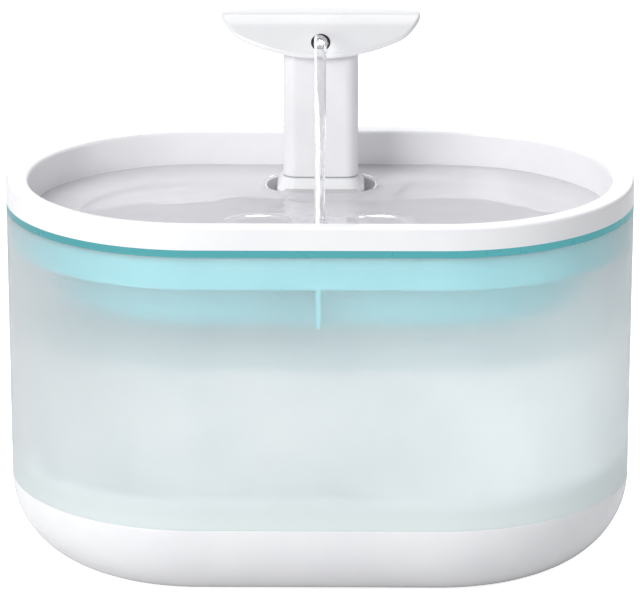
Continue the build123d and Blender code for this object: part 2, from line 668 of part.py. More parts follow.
OUTLET = slope_point(OUTLET_FROM_FRONT, 0)
OUTLET_AXIS = Vector(0, -sin(SLOPE), cos(SLOPE))


def duct_path():
    """Line of the water duct: up the column, then forward to the outlet."""
    foot = Vector(0, SPOUT_Y, TENON_Z)
    top = slope_point(OUTLET_FROM_FRONT, HEAD_THICKNESS)
    reach = (SPOUT_Y - top.Y) / sin(SLOPE)
    bend = top - OUTLET_AXIS * reach
    return FilletPolyline(foot, bend, top, radius=DUCT_BEND)


def along_duct(radius):
    """A round bar that follows the duct."""
    path = duct_path()
    return sweep(Plane(path @ 0, z_dir=path % 0) * Circle(radius), path=path)


def at_outlet(radius, depth, height):
    """A rod across the slope at the outlet, from a depth below it to a height above it."""
    plane = Plane(OUTLET - OUTLET_AXIS * depth, x_dir=(1, 0, 0), z_dir=OUTLET_AXIS)
    return extrude(plane * Circle(radius), depth + height)


def spout_head():
    """Thin bowed plate that rolls down to the outlet."""
    plate = below_head(0) - below_head(HEAD_THICKNESS)
    plate &= raised(head_plan(), RIM_TOP_Z, HEAD_TOP_Z + OVERRUN)
    plate = fillet(plate.edges().filter_by(Axis.Z, reverse=True), HEAD_EDGE_ROUND)
    return plate - at_outlet(OUTLET_RADIUS + BORE_GAP, 2 * HEAD_THICKNESS, HEAD_THICKNESS)


def outlet_seal():
    """Black rubber grommet in the outlet."""
    ring = at_outlet(OUTLET_RADIUS, HEAD_THICKNESS, 0)
    return ring - at_outlet(OUTLET_RADIUS - OUTLET_SEAL_WALL, HEAD_THICKNESS, 0)


def spout_column():
    """Hollow column with a tenon below; its top follows the head's underside."""
    column = raised(column_plan(0), JOINT_Z, HEAD_TOP_Z) + raised(tenon_plan(0), TENON_Z, JOINT_Z)
    column -= raised(column_plan(COLUMN_WALL), JOINT_Z + COLUMN_WALL, HEAD_TOP_Z)
    column &= below_head(HEAD_THICKNESS)
    return column - along_duct(DUCT_RADIUS + DUCT_WALL + BORE_GAP)


def spout_duct():
    """Tube that carries the water from the socket to the outlet."""
    return along_duct(DUCT_RADIUS + DUCT_WALL) - along_duct(DUCT_RADIUS)


# ---------------------------------------------------------------- pump
SHAFT_START = -CHAMBER_BACK - WELL_DEPTH - BUSH_SEAT
SHAFT_END = PUMP_FRONT + BUSH_LENGTH
MAGNET_START = -MAGNET_BACK
MAGNET_END = -MAGNET_BACK + MAGNET_LENGTH


def pump_block(back, front, margin, low, high):
    """A block of the pump with its long edges rounded, drawn in by margin."""
    half = PUMP_WIDTH / 2 - margin
    body = block(back, front, SPOUT_Y - half, SPOUT_Y + half, low, high)
    if PUMP_ROUND > margin:
        body = fillet(body.edges().filter_by(Axis.X), PUMP_ROUND - margin)
    return body


PUMP_MIDDLE_X = (PUMP_FRONT - PUMP_BACK) / 2
COIL_BAY_HALF = PUMP_WIDTH / 2 - PUMP_ROUND
FOOT_PLACES = [
    (x, SPOUT_Y + y)
    for x in (-PUMP_BACK + 2 * SUCTION_FOOT_RADIUS, PUMP_FRONT - 2 * SUCTION_FOOT_RADIUS)
    for y in (-SUCTION_FOOT_Y, SUCTION_FOOT_Y)
]


def pump_housing():
    """Sealed motor housing with the rotor well, the impeller chamber and the nipple."""
    body = pump_block(-PUMP_BACK, PUMP_FRONT, 0, PUMP_Z, PUMP_TOP_Z)
    spigot_inset = COVER_SHELL_WALL + TENON_GAP
    spigot_end = PUMP_FRONT + COVER_SPIGOT_LENGTH
    body += pump_block(
        PUMP_FRONT, spigot_end, spigot_inset, PUMP_Z + spigot_inset, PUMP_TOP_Z - spigot_inset
    )
    inner_back = -PUMP_BACK + PUMP_WALL
    half = PUMP_WIDTH / 2 - PUMP_WALL
    body -= block(
        inner_back, -CHAMBER_BACK - PUMP_WALL, SPOUT_Y - half, SPOUT_Y + half,
        PUMP_Z + COIL_BAY_HEIGHT, PUMP_TOP_Z - PUMP_WALL,
    )
    body -= block(
        inner_back, PUMP_FRONT - PUMP_WALL, SPOUT_Y - COIL_BAY_HALF, SPOUT_Y + COIL_BAY_HALF,
        PUMP_Z, PUMP_Z + COIL_BAY_HEIGHT,
    )
    well_end = SHAFT_START - WELL_WALL
    body += rod_x(WELL_RADIUS + WELL_WALL, well_end, -CHAMBER_BACK, SPOUT_Y, AXIS_Z)
    body -= rod_x(WELL_RADIUS, SHAFT_START + BUSH_SEAT, -CHAMBER_BACK, SPOUT_Y, AXIS_Z)
    body -= rod_x(CHAMBER_RADIUS, -CHAMBER_BACK, spigot_end, SPOUT_Y, AXIS_Z)
    body -= rod_x(BUSH_RADIUS + BORE_GAP, SHAFT_START, -CHAMBER_BACK, SPOUT_Y, AXIS_Z)
    body += rod_z(NIPPLE_RADIUS, PUMP_TOP_Z - OVERRUN, NIPPLE_TOP_Z, 0, SPOUT_Y)
    return body - rod_z(OUTLET_BORE_RADIUS, AXIS_Z, NIPPLE_TOP_Z, 0, SPOUT_Y)


def pump_base_cap():
    """Plate that closes the coil bay and carries the suction feet."""
    length = PUMP_BACK + PUMP_FRONT
    width = 2 * COIL_BAY_HALF
    plan = RectangleRounded(length, width, PUMP_CAP_THICKNESS)
    edge = PUMP_WALL + BORE_GAP
    plug = Rectangle(length - 2 * edge, width - 2 * edge)
    middle = Pos(PUMP_MIDDLE_X, SPOUT_Y)
    cap = raised(middle * plan, PUMP_CAP_Z, PUMP_Z)
    cap += raised(middle * plug, PUMP_Z, PUMP_Z + PUMP_CAP_PLUG)
    for x, y in FOOT_PLACES:
        cap -= rod_z(SUCTION_STEM_RADIUS + BORE_GAP, PUMP_CAP_Z, PUMP_Z, x, y)
    return cap


def suction_foot(x, y):
    """Rubber cup with a stem pressed into the pump's cap."""
    foot = rod_z(SUCTION_FOOT_RADIUS, TANK_FLOOR_Z, PUMP_CAP_Z, x, y)
    foot = fillet(foot.edges().group_by(Axis.Z)[-1], SUCTION_ROUND)
    cup = Cone(SUCTION_CUP_RADIUS, SUCTION_CUP_TOP_RADIUS, SUCTION_CUP_DEPTH)
    foot -= Pos(x, y, TANK_FLOOR_Z + SUCTION_CUP_DEPTH / 2) * cup
    return foot + rod_z(SUCTION_STEM_RADIUS, PUMP_CAP_Z, PUMP_Z - BORE_GAP, x, y)


RECEIVER_Z = PUMP_Z + PUMP_CAP_PLUG


def receiver_coil():
    """Flat winding in the pump's coil bay."""
    top = RECEIVER_Z + RECEIVER_THICKNESS
    radius = COIL_BAY_HALF - SLIDE_GAP
    coil = rod_z(radius, RECEIVER_Z, top, PUMP_MIDDLE_X, SPOUT_Y)
    return coil - rod_z(RECEIVER_INNER_RADIUS, RECEIVER_Z, top, PUMP_MIDDLE_X, SPOUT_Y)


STATOR_INNER = WELL_RADIUS + WELL_WALL + BORE_GAP
STATOR_SPAN = (-STATOR_BACK, -STATOR_BACK + STATOR_LENGTH)


def winding_bars(start, end, gap):
    """Four bars that lie in the stator's slots."""
    middle = (STATOR_INNER + STATOR_RADIUS) / 2
    low = middle - SLOT_DEPTH / 2 + gap
    high = middle + SLOT_DEPTH / 2 - gap
    half = SLOT_WIDTH / 2 - gap
    bar = block(start, end, -half, half, low, high)
    return [Pos(0, SPOUT_Y, AXIS_Z) * Rot(90 * turn, 0, 0) * bar for turn in range(4)]


def stator_core():
    """Stack of steel rings with four slots."""
    start, end = STATOR_SPAN
    core = rod_x(STATOR_RADIUS, start, end, SPOUT_Y, AXIS_Z)
    core -= rod_x(STATOR_INNER, start, end, SPOUT_Y, AXIS_Z)
    for bar in winding_bars(start, end, 0):
        core -= bar
    return core


def stator_winding():
    """Copper packs in the stator's slots."""
    start, end = STATOR_SPAN
    bars = winding_bars(start - WINDING_OVERHANG, end + WINDING_OVERHANG, WINDING_GAP)
    return Compound(children=bars)




def impeller_shaft():
    """Steel pin held at both ends in rubber bushes."""
    return rod_x(SHAFT_RADIUS, SHAFT_START, SHAFT_END, SPOUT_Y, AXIS_Z)


def shaft_bush(start):
    """Rubber bush round one end of the shaft."""
    bush = rod_x(BUSH_RADIUS, start, start + BUSH_LENGTH, SPOUT_Y, AXIS_Z)
    return bush - rod_x(SHAFT_RADIUS + BORE_GAP, start, start + BUSH_LENGTH, SPOUT_Y, AXIS_Z)


def rotor_magnet():
    """Magnet cylinder that turns in the well."""
    magnet = rod_x(MAGNET_RADIUS, MAGNET_START, MAGNET_END, SPOUT_Y, AXIS_Z)
    return magnet - rod_x(SHAFT_RADIUS + BORE_GAP, MAGNET_START, MAGNET_END, SPOUT_Y, AXIS_Z)


def impeller():
    """Disc, hub and straight blades, joined to the magnet by a neck."""
    start = -IMPELLER_BACK
    end = start + IMPELLER_LENGTH
    wheel = rod_x(IMPELLER_RADIUS, start, start + IMPELLER_DISC, SPOUT_Y, AXIS_Z)
    wheel += rod_x(IMPELLER_HUB_RADIUS, MAGNET_END, end, SPOUT_Y, AXIS_Z)
    blade = block(start, end, -IMPELLER_BLADE / 2, IMPELLER_BLADE / 2, 0, IMPELLER_RADIUS)
    for turn in range(IMPELLER_BLADES):
        wheel += Pos(0, SPOUT_Y, AXIS_Z) * Rot(360 / IMPELLER_BLADES * turn, 0, 0) * blade
    return wheel - rod_x(SHAFT_RADIUS + BORE_GAP, MAGNET_END, end, SPOUT_Y, AXIS_Z)


def volute_cover():
    """Plate over the impeller with the inlet eye and a spider for the front bush."""
    low = PUMP_FRONT - VOLUTE_SPIGOT
    end = PUMP_FRONT + VOLUTE_PLATE
    plate = rod_x(CHAMBER_RADIUS - BORE_GAP, low, end, SPOUT_Y, AXIS_Z)
    plate -= rod_x(CHAMBER_RADIUS - VOLUTE_SPIGOT, low, PUMP_FRONT, SPOUT_Y, AXIS_Z)
    plate -= rod_x(EYE_RADIUS, PUMP_FRONT, end, SPOUT_Y, AXIS_Z)
    bush_bore = BUSH_RADIUS + BORE_GAP
    plate += rod_x(bush_bore + SPIDER_WIDTH / 2, PUMP_FRONT, end, SPOUT_Y, AXIS_Z)
    half = SPIDER_WIDTH / 2
    arm = block(PUMP_FRONT, end, -half, half, bush_bore, EYE_RADIUS + OVERRUN)
    for turn in range(SPIDER_ARMS):
        plate += Pos(0, SPOUT_Y, AXIS_Z) * Rot(360 / SPIDER_ARMS * turn, 0, 0) * arm
    return plate - rod_x(bush_bore, PUMP_FRONT, end, SPOUT_Y, AXIS_Z)


COVER_END = PUMP_FRONT + COVER_SHELL_LENGTH


def intake_cover():
    """Slotted cap that slides over the housing's spigot and holds the sponge."""
    shell = pump_block(PUMP_FRONT, COVER_END, 0, PUMP_Z, PUMP_TOP_Z)
    shell -= pump_block(
        PUMP_FRONT, COVER_END - COVER_SHELL_WALL, COVER_SHELL_WALL,
        PUMP_Z + COVER_SHELL_WALL, PUMP_TOP_Z - COVER_SHELL_WALL,
    )
    slot = Box(COVER_SHELL_WALL, COVER_SLOT_LENGTH, COVER_SLOT_WIDTH)
    slot_x = COVER_END - COVER_SHELL_WALL / 2
    middle_z = (PUMP_Z + PUMP_TOP_Z) / 2
    for count in range(COVER_SLOTS):
        z = middle_z + COVER_SLOT_PITCH * (count - (COVER_SLOTS - 1) / 2)
        shell -= Pos(slot_x, SPOUT_Y, z) * slot
    return shell


def pump_sponge():
    """Foam block between the intake slots and the inlet eye."""
    margin = COVER_SHELL_WALL + SLIDE_GAP
    return pump_block(
        PUMP_FRONT + COVER_SPIGOT_LENGTH + SLIDE_GAP, COVER_END - COVER_SHELL_WALL, margin,
        PUMP_Z + margin, PUMP_TOP_Z - margin,
    )


def riser_tube():
    """Tube from the pump's nipple up into the tray's socket, grooved for its ring."""
    tube = rod_z(RISER_RADIUS, PUMP_TOP_Z, RISER_TOP_Z - SLIDE_GAP, 0, SPOUT_Y)
    tube -= rod_z(OUTLET_BORE_RADIUS, PUMP_TOP_Z, RISER_TOP_Z, 0, SPOUT_Y)
    tube -= rod_z(NIPPLE_RADIUS + BORE_GAP, PUMP_TOP_Z, NIPPLE_TOP_Z + SLIDE_GAP, 0, SPOUT_Y)
    groove = rod_z(RISER_RADIUS, ORING_Z, ORING_Z + ORING_WIDTH, 0, SPOUT_Y)
    groove -= rod_z(RISER_RADIUS - ORING_DEPTH, ORING_Z, ORING_Z + ORING_WIDTH, 0, SPOUT_Y)
    return tube - groove


def riser_ring():
    """Rubber ring in the riser's groove."""
    top = ORING_Z + ORING_WIDTH
    ring = rod_z(RISER_RADIUS + BORE_GAP / 2, ORING_Z, top, 0, SPOUT_Y)
    return ring - rod_z(RISER_RADIUS - ORING_DEPTH, ORING_Z, top, 0, SPOUT_Y)


# ---------------------------------------------------------------- output
PARTS = {
    "base_shell": base_shell(),
    "base_deck": base_deck(),
    "bottom_cover": bottom_cover(),
    "base_screws": base_screws(),
    "power_socket": power_socket(),
    "socket_gasket": socket_gasket(),
    "control_board": control_board(),
    "transmitter_coil": transmitter_coil(),
    "ferrite_plate": ferrite_plate(),
    "coil_holder": coil_holder(),
    "tank": tank(),
    "pump_housing": pump_housing(),
    "pump_base_cap": pump_base_cap(),
    "receiver_coil": receiver_coil(),
    "stator_core": stator_core(),
    "stator_winding": stator_winding(),
    "impeller_shaft": impeller_shaft(),
    "rear_shaft_bush": shaft_bush(SHAFT_START),
    "front_shaft_bush": shaft_bush(PUMP_FRONT),
    "volute_cover": volute_cover(),
    "riser_tube": riser_tube(),
    "riser_ring": riser_ring(),
    "rotor_magnet": rotor_magnet(),
    "impeller": impeller(),
    "intake_cover": intake_cover(),
    "pump_sponge": pump_sponge(),
    "filter_tray": filter_tray(),
    "filter_frame": filter_frame(),
    "filter_media": filter_media(),
    "filter_cloth": filter_cloth(),
    "drinking_tray": drinking_tray(),
    "spout_column": spout_column(),
    "spout_head": spout_head(),
    "spout_duct": spout_duct(),
    "outlet_seal": outlet_seal(),
}
for number, (x, y) in enumerate(corners(FOOT_X, FOOT_Y), start=1):
    PARTS[f"foot_pad_{number}"] = foot_pad(x, y)
for number, (x, y) in enumerate(FOOT_PLACES, start=1):
    PARTS[f"suction_foot_{number}"] = suction_foot(x, y)

os.makedirs("parts", exist_ok=True)
for node, solid in PARTS.items():
    export_step(solid, f"parts/{node}.step")
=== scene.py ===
"""Dresses a pet water fountain: the finishes of its parts, the water in it and its soft filter pads.

Shapes are worked out in millimetres and become metres when a mesh is finished, in the part's own frame:
+X along the capsule, -Y towards the drinking side, +Z up.
"""

import logging
import math
from abc import ABC, abstractmethod
from dataclasses import dataclass, replace
from enum import Enum
from typing import Any, Callable, Iterable, Iterator

import bmesh
import bpy
from mathutils import Matrix, Vector, noise


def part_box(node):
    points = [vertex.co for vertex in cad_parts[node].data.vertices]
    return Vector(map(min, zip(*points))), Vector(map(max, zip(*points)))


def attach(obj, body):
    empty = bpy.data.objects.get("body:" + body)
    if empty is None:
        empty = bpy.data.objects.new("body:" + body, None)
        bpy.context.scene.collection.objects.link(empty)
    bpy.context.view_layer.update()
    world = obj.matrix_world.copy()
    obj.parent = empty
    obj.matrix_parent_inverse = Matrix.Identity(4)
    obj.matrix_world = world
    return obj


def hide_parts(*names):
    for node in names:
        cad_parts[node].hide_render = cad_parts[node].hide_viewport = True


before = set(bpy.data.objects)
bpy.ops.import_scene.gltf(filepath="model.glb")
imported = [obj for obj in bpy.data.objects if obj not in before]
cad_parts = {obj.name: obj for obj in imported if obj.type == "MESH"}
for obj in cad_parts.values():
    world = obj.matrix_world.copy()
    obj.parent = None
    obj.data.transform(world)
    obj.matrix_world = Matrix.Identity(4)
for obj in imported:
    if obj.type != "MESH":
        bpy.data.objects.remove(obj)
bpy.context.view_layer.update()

LOG = logging.getLogger("fountain")
MM = 0.001  # a millimetre in metres
SMOOTH_ANGLE = math.radians(28.0)  # a moulded edge sharper than this stays crisp
WELD_DISTANCE = 0.01  # corners nearer than this are one corner
NOISE_MIDDLE = (0.3, 0.7)  # most of a noise's values lie between these
CLOUD_SIZE = 22.0  # a pigment cloud's size in millimetres
HAZE_SIZE = 9.0  # the size of the haze that handling leaves, in millimetres
HAZE_SWING = (0.82, 1.22)  # how far that haze moves the roughness, as shares of it
GRAIN_DETAIL = 2.0  # a grain or ripple has few finer octaves, so its own size shows
WATER_IOR = 1.333
GRAVITY = 9.81e-3  # in millimetres a square millisecond
WHITE = (1.0, 1.0, 1.0, 1.0)
SURFACE_SLOT = 1  # the material slot of the tank water's upper face


# ---------------------------------------------------------------- nodes and colours


def linear(hex_colour: str) -> tuple[float, float, float, float]:
    """Turns an sRGB colour into the linear colour that a shader takes.

    Args:
        hex_colour: six hex digits, such as "F1F2F3".

    Returns:
        Red, green, blue and an alpha of 1.
    """

    def channel(start: int) -> float:
        """Gives one channel's linear value."""
        value = int(hex_colour[start : start + 2], 16) / 255.0
        return value / 12.92 if value <= 0.04045 else ((value + 0.055) / 1.055) ** 2.4

    return channel(0), channel(2), channel(4), 1.0


def add_node(
    tree: bpy.types.NodeTree,
    kind: str,
    inputs: dict[str | int, Any] | None = None,
    settings: dict[str, Any] | None = None,
) -> bpy.types.Node:
    """Adds a node with its settings and links.

    Args:
        tree: the node tree it goes into.
        kind: Blender's name for the node's type.
        inputs: a value or another node's output for each named input.
        settings: the node's own properties.

    Returns:
        The new node.
    """
    node = tree.nodes.new(kind)
    for name, value in (settings or {}).items():
        setattr(node, name, value)
    for name, value in (inputs or {}).items():
        if isinstance(value, bpy.types.NodeSocket):
            tree.links.new(value, node.inputs[name])
        else:
            node.inputs[name].default_value = value
    return node


class Finish(ABC):
    """A surface as it was made. A subclass wires the nodes that show it."""

    name: str

    @abstractmethod
    def wire(self, tree: bpy.types.NodeTree) -> bpy.types.NodeSocket:
        """Adds this finish's nodes to a tree.

        Args:
            tree: an empty material tree.

        Returns:
            The shader output that the surface takes.
        """

    def material(self) -> bpy.types.Material:
        """Gives the finish's material, made the first time that it is asked for.

        Returns:
            The material.
        """
        found = bpy.data.materials.get(self.name)
        if found is not None:
            return found
        made = bpy.data.materials.new(self.name)
        made.use_nodes = True
        made.node_tree.nodes.clear()
        surface = self.wire(made.node_tree)
        add_node(made.node_tree, "ShaderNodeOutputMaterial", {"Surface": surface})
        return made

    def dress(self, piece: bpy.types.Object) -> None:
        """Gives a piece this finish all over."""
        piece.data.materials.clear()
        piece.data.materials.append(self.material())


def surface_noise(
    tree: bpy.types.NodeTree,
    size: float,
    detail: float = 3.0,
    stretch: tuple[float, float, float] = (1.0, 1.0, 1.0),
) -> bpy.types.NodeSocket:
    """Adds a noise pattern that is fixed to the part.

    Args:
        tree: the material's node tree.
        size: the pattern's real size in millimetres.
        detail: how many finer octaves it has.
        stretch: the pattern's frequency along X, Y and Z against the others.

    Returns:
        The noise's value output.
    """
    place = add_node(tree, "ShaderNodeTexCoord").outputs["Object"]
    placed = add_node(tree, "ShaderNodeMapping", {"Vector": place, "Scale": stretch}).outputs["Vector"]
    return add_node(
        tree, "ShaderNodeTexNoise", {"Vector": placed, "Scale": 1.0 / (size * MM), "Detail": detail}
    ).outputs["Fac"]


def spread(
    tree: bpy.types.NodeTree, value: bpy.types.NodeSocket, low: float, high: float
) -> bpy.types.NodeSocket:
    """Spreads a noise's middle values over a range.

    Args:
        tree: the material's node tree.
        value: the noise's output.
        low: what its low end becomes.
        high: what its high end becomes.

    Returns:
        The spread value's output.
    """
    start, end = NOISE_MIDDLE
    ends = {"Value": value, "From Min": start, "From Max": end, "To Min": low, "To Max": high}
    return add_node(tree, "ShaderNodeMapRange", ends).outputs["Result"]


def part_axes(tree: bpy.types.NodeTree) -> Any:
    """Splits a point's place on the part into the outputs "X", "Y" and "Z", in metres."""
    place = add_node(tree, "ShaderNodeTexCoord").outputs["Object"]
    return add_node(tree, "ShaderNodeSeparateXYZ", {"Vector": place}).outputs


def ramp(
    tree: bpy.types.NodeTree,
    value: bpy.types.NodeSocket,
    places: tuple[float, float],
    values: tuple[float, float] = (0.0, 1.0),
    eased: bool = True,
) -> bpy.types.NodeSocket:
    """Changes from one value to another between two places on the part.

    Args:
        tree: the material's node tree.
        value: the output that gives a point's place along an axis.
        places: where the change starts and ends, in millimetres.
        values: the value at each of them.
        eased: whether it starts and ends softly.

    Returns:
        The changing value's output.
    """
    ends = {"Value": value, "From Min": places[0] * MM, "From Max": places[1] * MM}
    ends |= {"To Min": values[0], "To Max": values[1]}
    kind = {"interpolation_type": "SMOOTHSTEP" if eased else "LINEAR"}
    return add_node(tree, "ShaderNodeMapRange", ends, kind).outputs["Result"]


def haze(tree: bpy.types.NodeTree, roughness: float) -> bpy.types.NodeSocket:
    """Adds the haze that handling leaves on a moulded face, about its typical roughness."""
    low, high = (share * roughness for share in HAZE_SWING)
    return spread(tree, surface_noise(tree, HAZE_SIZE, 5.0), low, high)


def between(
    tree: bpy.types.NodeTree, share: bpy.types.NodeSocket, first: Any, second: Any
) -> bpy.types.NodeSocket:
    """Mixes two linear colours or colour outputs, by a share of 0 for the first and 1 for the second."""
    inputs = {0: share, 6: first, 7: second}
    return add_node(tree, "ShaderNodeMix", inputs, {"data_type": "RGBA"}).outputs[2]


def bump(tree: bpy.types.NodeTree, height: bpy.types.NodeSocket, depth: float) -> bpy.types.NodeSocket:
    """Turns a pattern of 0 to 1 into relief with a real depth in millimetres, and gives its normal."""
    relief = {"Height": height, "Distance": depth * MM, "Strength": 1.0}
    return add_node(tree, "ShaderNodeBump", relief).outputs["Normal"]


def grain_relief(tree: bpy.types.NodeTree, size: float, depth: float) -> bpy.types.NodeSocket:
    """Adds a fine grain or ripple of a real size and depth in millimetres, and gives its normal."""
    return bump(tree, surface_noise(tree, size, GRAIN_DETAIL), depth)


def math_node(tree: bpy.types.NodeTree, operation: str, *terms: Any) -> bpy.types.NodeSocket:
    """Works out a sum or product of outputs and numbers in a tree, and gives the result's output."""
    return add_node(tree, "ShaderNodeMath", dict(enumerate(terms)), {"operation": operation}).outputs[0]


def lamp_light_through(
    tree: bpy.types.NodeTree, shader: bpy.types.NodeSocket, tint: str
) -> bpy.types.NodeSocket:
    """Lets the lamps' light through a clear or milky wall, so that what is behind it isn't left dark.

    Args:
        tree: the material's node tree.
        shader: what the wall looks like.
        tint: the colour that the light takes on its way.

    Returns:
        The shader output for the surface.
    """
    shadow = add_node(tree, "ShaderNodeLightPath").outputs["Is Shadow Ray"]
    clear = add_node(tree, "ShaderNodeBsdfTransparent", {"Color": linear(tint)}).outputs["BSDF"]
    return add_node(tree, "ShaderNodeMixShader", {0: shadow, 1: shader, 2: clear}).outputs["Shader"]


# ---------------------------------------------------------------- finishes


class Grain(Enum):
    """The face that a mould leaves: its grain's size and depth in millimetres."""

    POLISHED = (2.6, 0.004)
    SATIN = (0.9, 0.006)
    BLASTED = (0.45, 0.012)
    ERODED = (0.7, 0.03)


@dataclass(frozen=True)
class MouldedPlastic(Finish):
    """An injection-moulded plastic or rubber, coloured right through.

    Attributes:
        name: the material's name.
        colour: its colour where the pigment is even.
        cloud: the slightly deeper colour of the pigment's faint clouds.
        roughness: its typical roughness.
        grain: the face that its mould leaves.
        softness: how far light goes in below the surface, in millimetres.
        reach: how far red, green and blue go in, as shares of that.
    """

    name: str
    colour: str
    cloud: str
    roughness: float
    grain: Grain
    softness: float = 0.0
    reach: tuple[float, float, float] = (1.0, 0.9, 0.8)

    def wire(self, tree: bpy.types.NodeTree) -> bpy.types.NodeSocket:
        """Adds the pigment's clouds, the handling haze and the mould's grain.

        Args:
            tree: an empty material tree.

        Returns:
            The shader output that the surface takes.
        """
        clouds = spread(tree, surface_noise(tree, CLOUD_SIZE), 0.0, 1.0)
        inputs = {
            "Base Color": between(tree, clouds, linear(self.colour), linear(self.cloud)),
            "Roughness": haze(tree, self.roughness),
            "IOR": 1.5,
            "Normal": grain_relief(tree, *self.grain.value),
        }
        if self.softness:
            inputs["Subsurface Weight"] = 1.0
            inputs["Subsurface Scale"] = self.softness * MM
            inputs["Subsurface Radius"] = self.reach
        return add_node(tree, "ShaderNodeBsdfPrincipled", inputs).outputs["BSDF"]


@dataclass(frozen=True)
class TintedPlastic(Finish):
    """A tinted, half see-through plastic: bright where it is thin, and deeper in its thick flange.

    Attributes:
        name: the material's name.
        colour: its colour where it is thin.
        cloud: the slightly deeper colour of the pigment's faint clouds.
        flange: its colour in the flange.
        flange_from: the flange's underside, in millimetres.
        roughness: its typical roughness.
        grain: the face that its mould leaves.
        flange_over: how many millimetres the change to the flange takes.
    """

    name: str
    colour: str
    cloud: str
    flange: str
    flange_from: float
    roughness: float
    grain: Grain
    flange_over: float = 1.0

    def wire(self, tree: bpy.types.NodeTree) -> bpy.types.NodeSocket:
        """Adds the pigment's clouds, the deeper flange and the mould's grain.

        Args:
            tree: an empty material tree.

        Returns:
            The shader output that the surface takes.
        """
        change = (self.flange_from - self.flange_over, self.flange_from)
        thick = ramp(tree, part_axes(tree)["Z"], change, eased=False)
        clouds = spread(tree, surface_noise(tree, CLOUD_SIZE), 0.0, 1.0)
        thin_colour = between(tree, clouds, linear(self.colour), linear(self.cloud))
        inputs = {
            "Base Color": between(tree, thick, thin_colour, linear(self.flange)),
            "Roughness": haze(tree, self.roughness),
            "IOR": 1.49,
            "Normal": grain_relief(tree, *self.grain.value),
        }
        return add_node(tree, "ShaderNodeBsdfPrincipled", inputs).outputs["BSDF"]


@dataclass(frozen=True)
class MilkyPlastic(Finish):
    """A see-through plastic with a blasted face: it shows what is close behind it and blurs the rest.

    Attributes:
        name: the material's name.
        colour: the milkiness that the wall itself adds.
        cloud: the deeper tone of its faint clouds.
        clearness: the share of light that goes through a face.
        roughness: how far a face scatters what goes through.
        tint: the colour that light takes on its way through a face.
        glow: the share of a face that passes on the light from behind evenly.
        thick: the milkiness where the wall is thick.
        thick_below: the height in millimetres that the wall thickens under, and hides what is behind it.
        thick_over: how many millimetres that change takes.
        grain: the face that its mould leaves.
        thick_clearness: the share of its clearness that is left where the wall is thick.
        cloud_size: a cloud's size in millimetres.
        uneven_size: the size of the blasting's uneven patches in millimetres.
        swing: how far those patches move the roughness, as shares of it.
    """

    name: str
    colour: str
    cloud: str
    clearness: float
    roughness: float
    tint: str
    glow: float
    thick: str
    thick_below: float
    thick_over: float
    grain: Grain
    thick_clearness: float = 0.1
    cloud_size: float = 30.0
    uneven_size: float = 7.0
    swing: tuple[float, float] = (0.9, 1.1)

    def wire(self, tree: bpy.types.NodeTree) -> bpy.types.NodeSocket:
        """Adds the milky body, the clouds and the blasted face.

        Args:
            tree: an empty material tree.

        Returns:
            The shader output that the surface takes.
        """
        clouds = spread(tree, surface_noise(tree, self.cloud_size), 0.0, 1.0)
        patches = surface_noise(tree, self.uneven_size, 4.0)
        low, high = (share * self.roughness for share in self.swing)
        height = part_axes(tree)["Z"]
        change = (self.thick_below - self.thick_over, self.thick_below)
        thin = ramp(tree, height, change, (self.thick_clearness * self.clearness, self.clearness))
        thin_colour = between(tree, clouds, linear(self.colour), linear(self.cloud))
        milk = between(tree, ramp(tree, height, change, eased=False), linear(self.thick), thin_colour)
        relief = grain_relief(tree, *self.grain.value)
        inputs = {
            "Base Color": milk,
            "Transmission Weight": thin,
            "Roughness": spread(tree, patches, low, high),
            "IOR": 1.46,
            "Normal": relief,
        }
        body = add_node(tree, "ShaderNodeBsdfPrincipled", inputs).outputs["BSDF"]
        behind = {"Color": milk, "Normal": relief}
        even = add_node(tree, "ShaderNodeBsdfTranslucent", behind).outputs["BSDF"]
        lit = add_node(tree, "ShaderNodeMixShader", {0: self.glow, 1: body, 2: even}).outputs["Shader"]
        return lamp_light_through(tree, lit, self.tint)


@dataclass(frozen=True)
class Water(Finish):
    """Drinking water, clear or pale with fine bubbles, with the small ripple that running water has.

    Attributes:
        name: the material's name.
        colour: the faint tint.
        deep: the tint where it is deepest.
        ripple: the fine ripple's size in millimetres.
        depth: the fine ripple's height in millimetres.
        bubbles: the share of it that fine air bubbles turn white.
        tint_size: how many millimetres the tint's changes go over.
    """

    name: str
    colour: str
    deep: str
    ripple: float
    depth: float
    bubbles: float = 0.0
    tint_size: float = 40.0

    def wire(self, tree: bpy.types.NodeTree) -> bpy.types.NodeSocket:
        """Adds the clear body and the fine ripple.

        Args:
            tree: an empty material tree.

        Returns:
            The shader output that the surface takes.
        """
        changes = surface_noise(tree, self.tint_size)
        inputs = {
            "Base Color": between(tree, changes, linear(self.colour), linear(self.deep)),
            "Transmission Weight": 1.0 - self.bubbles,
            "Roughness": 0.0,
            "IOR": WATER_IOR,
            "Normal": grain_relief(tree, self.ripple, self.depth),
        }
        body = add_node(tree, "ShaderNodeBsdfPrincipled", inputs).outputs["BSDF"]
        return lamp_light_through(tree, body, self.colour)


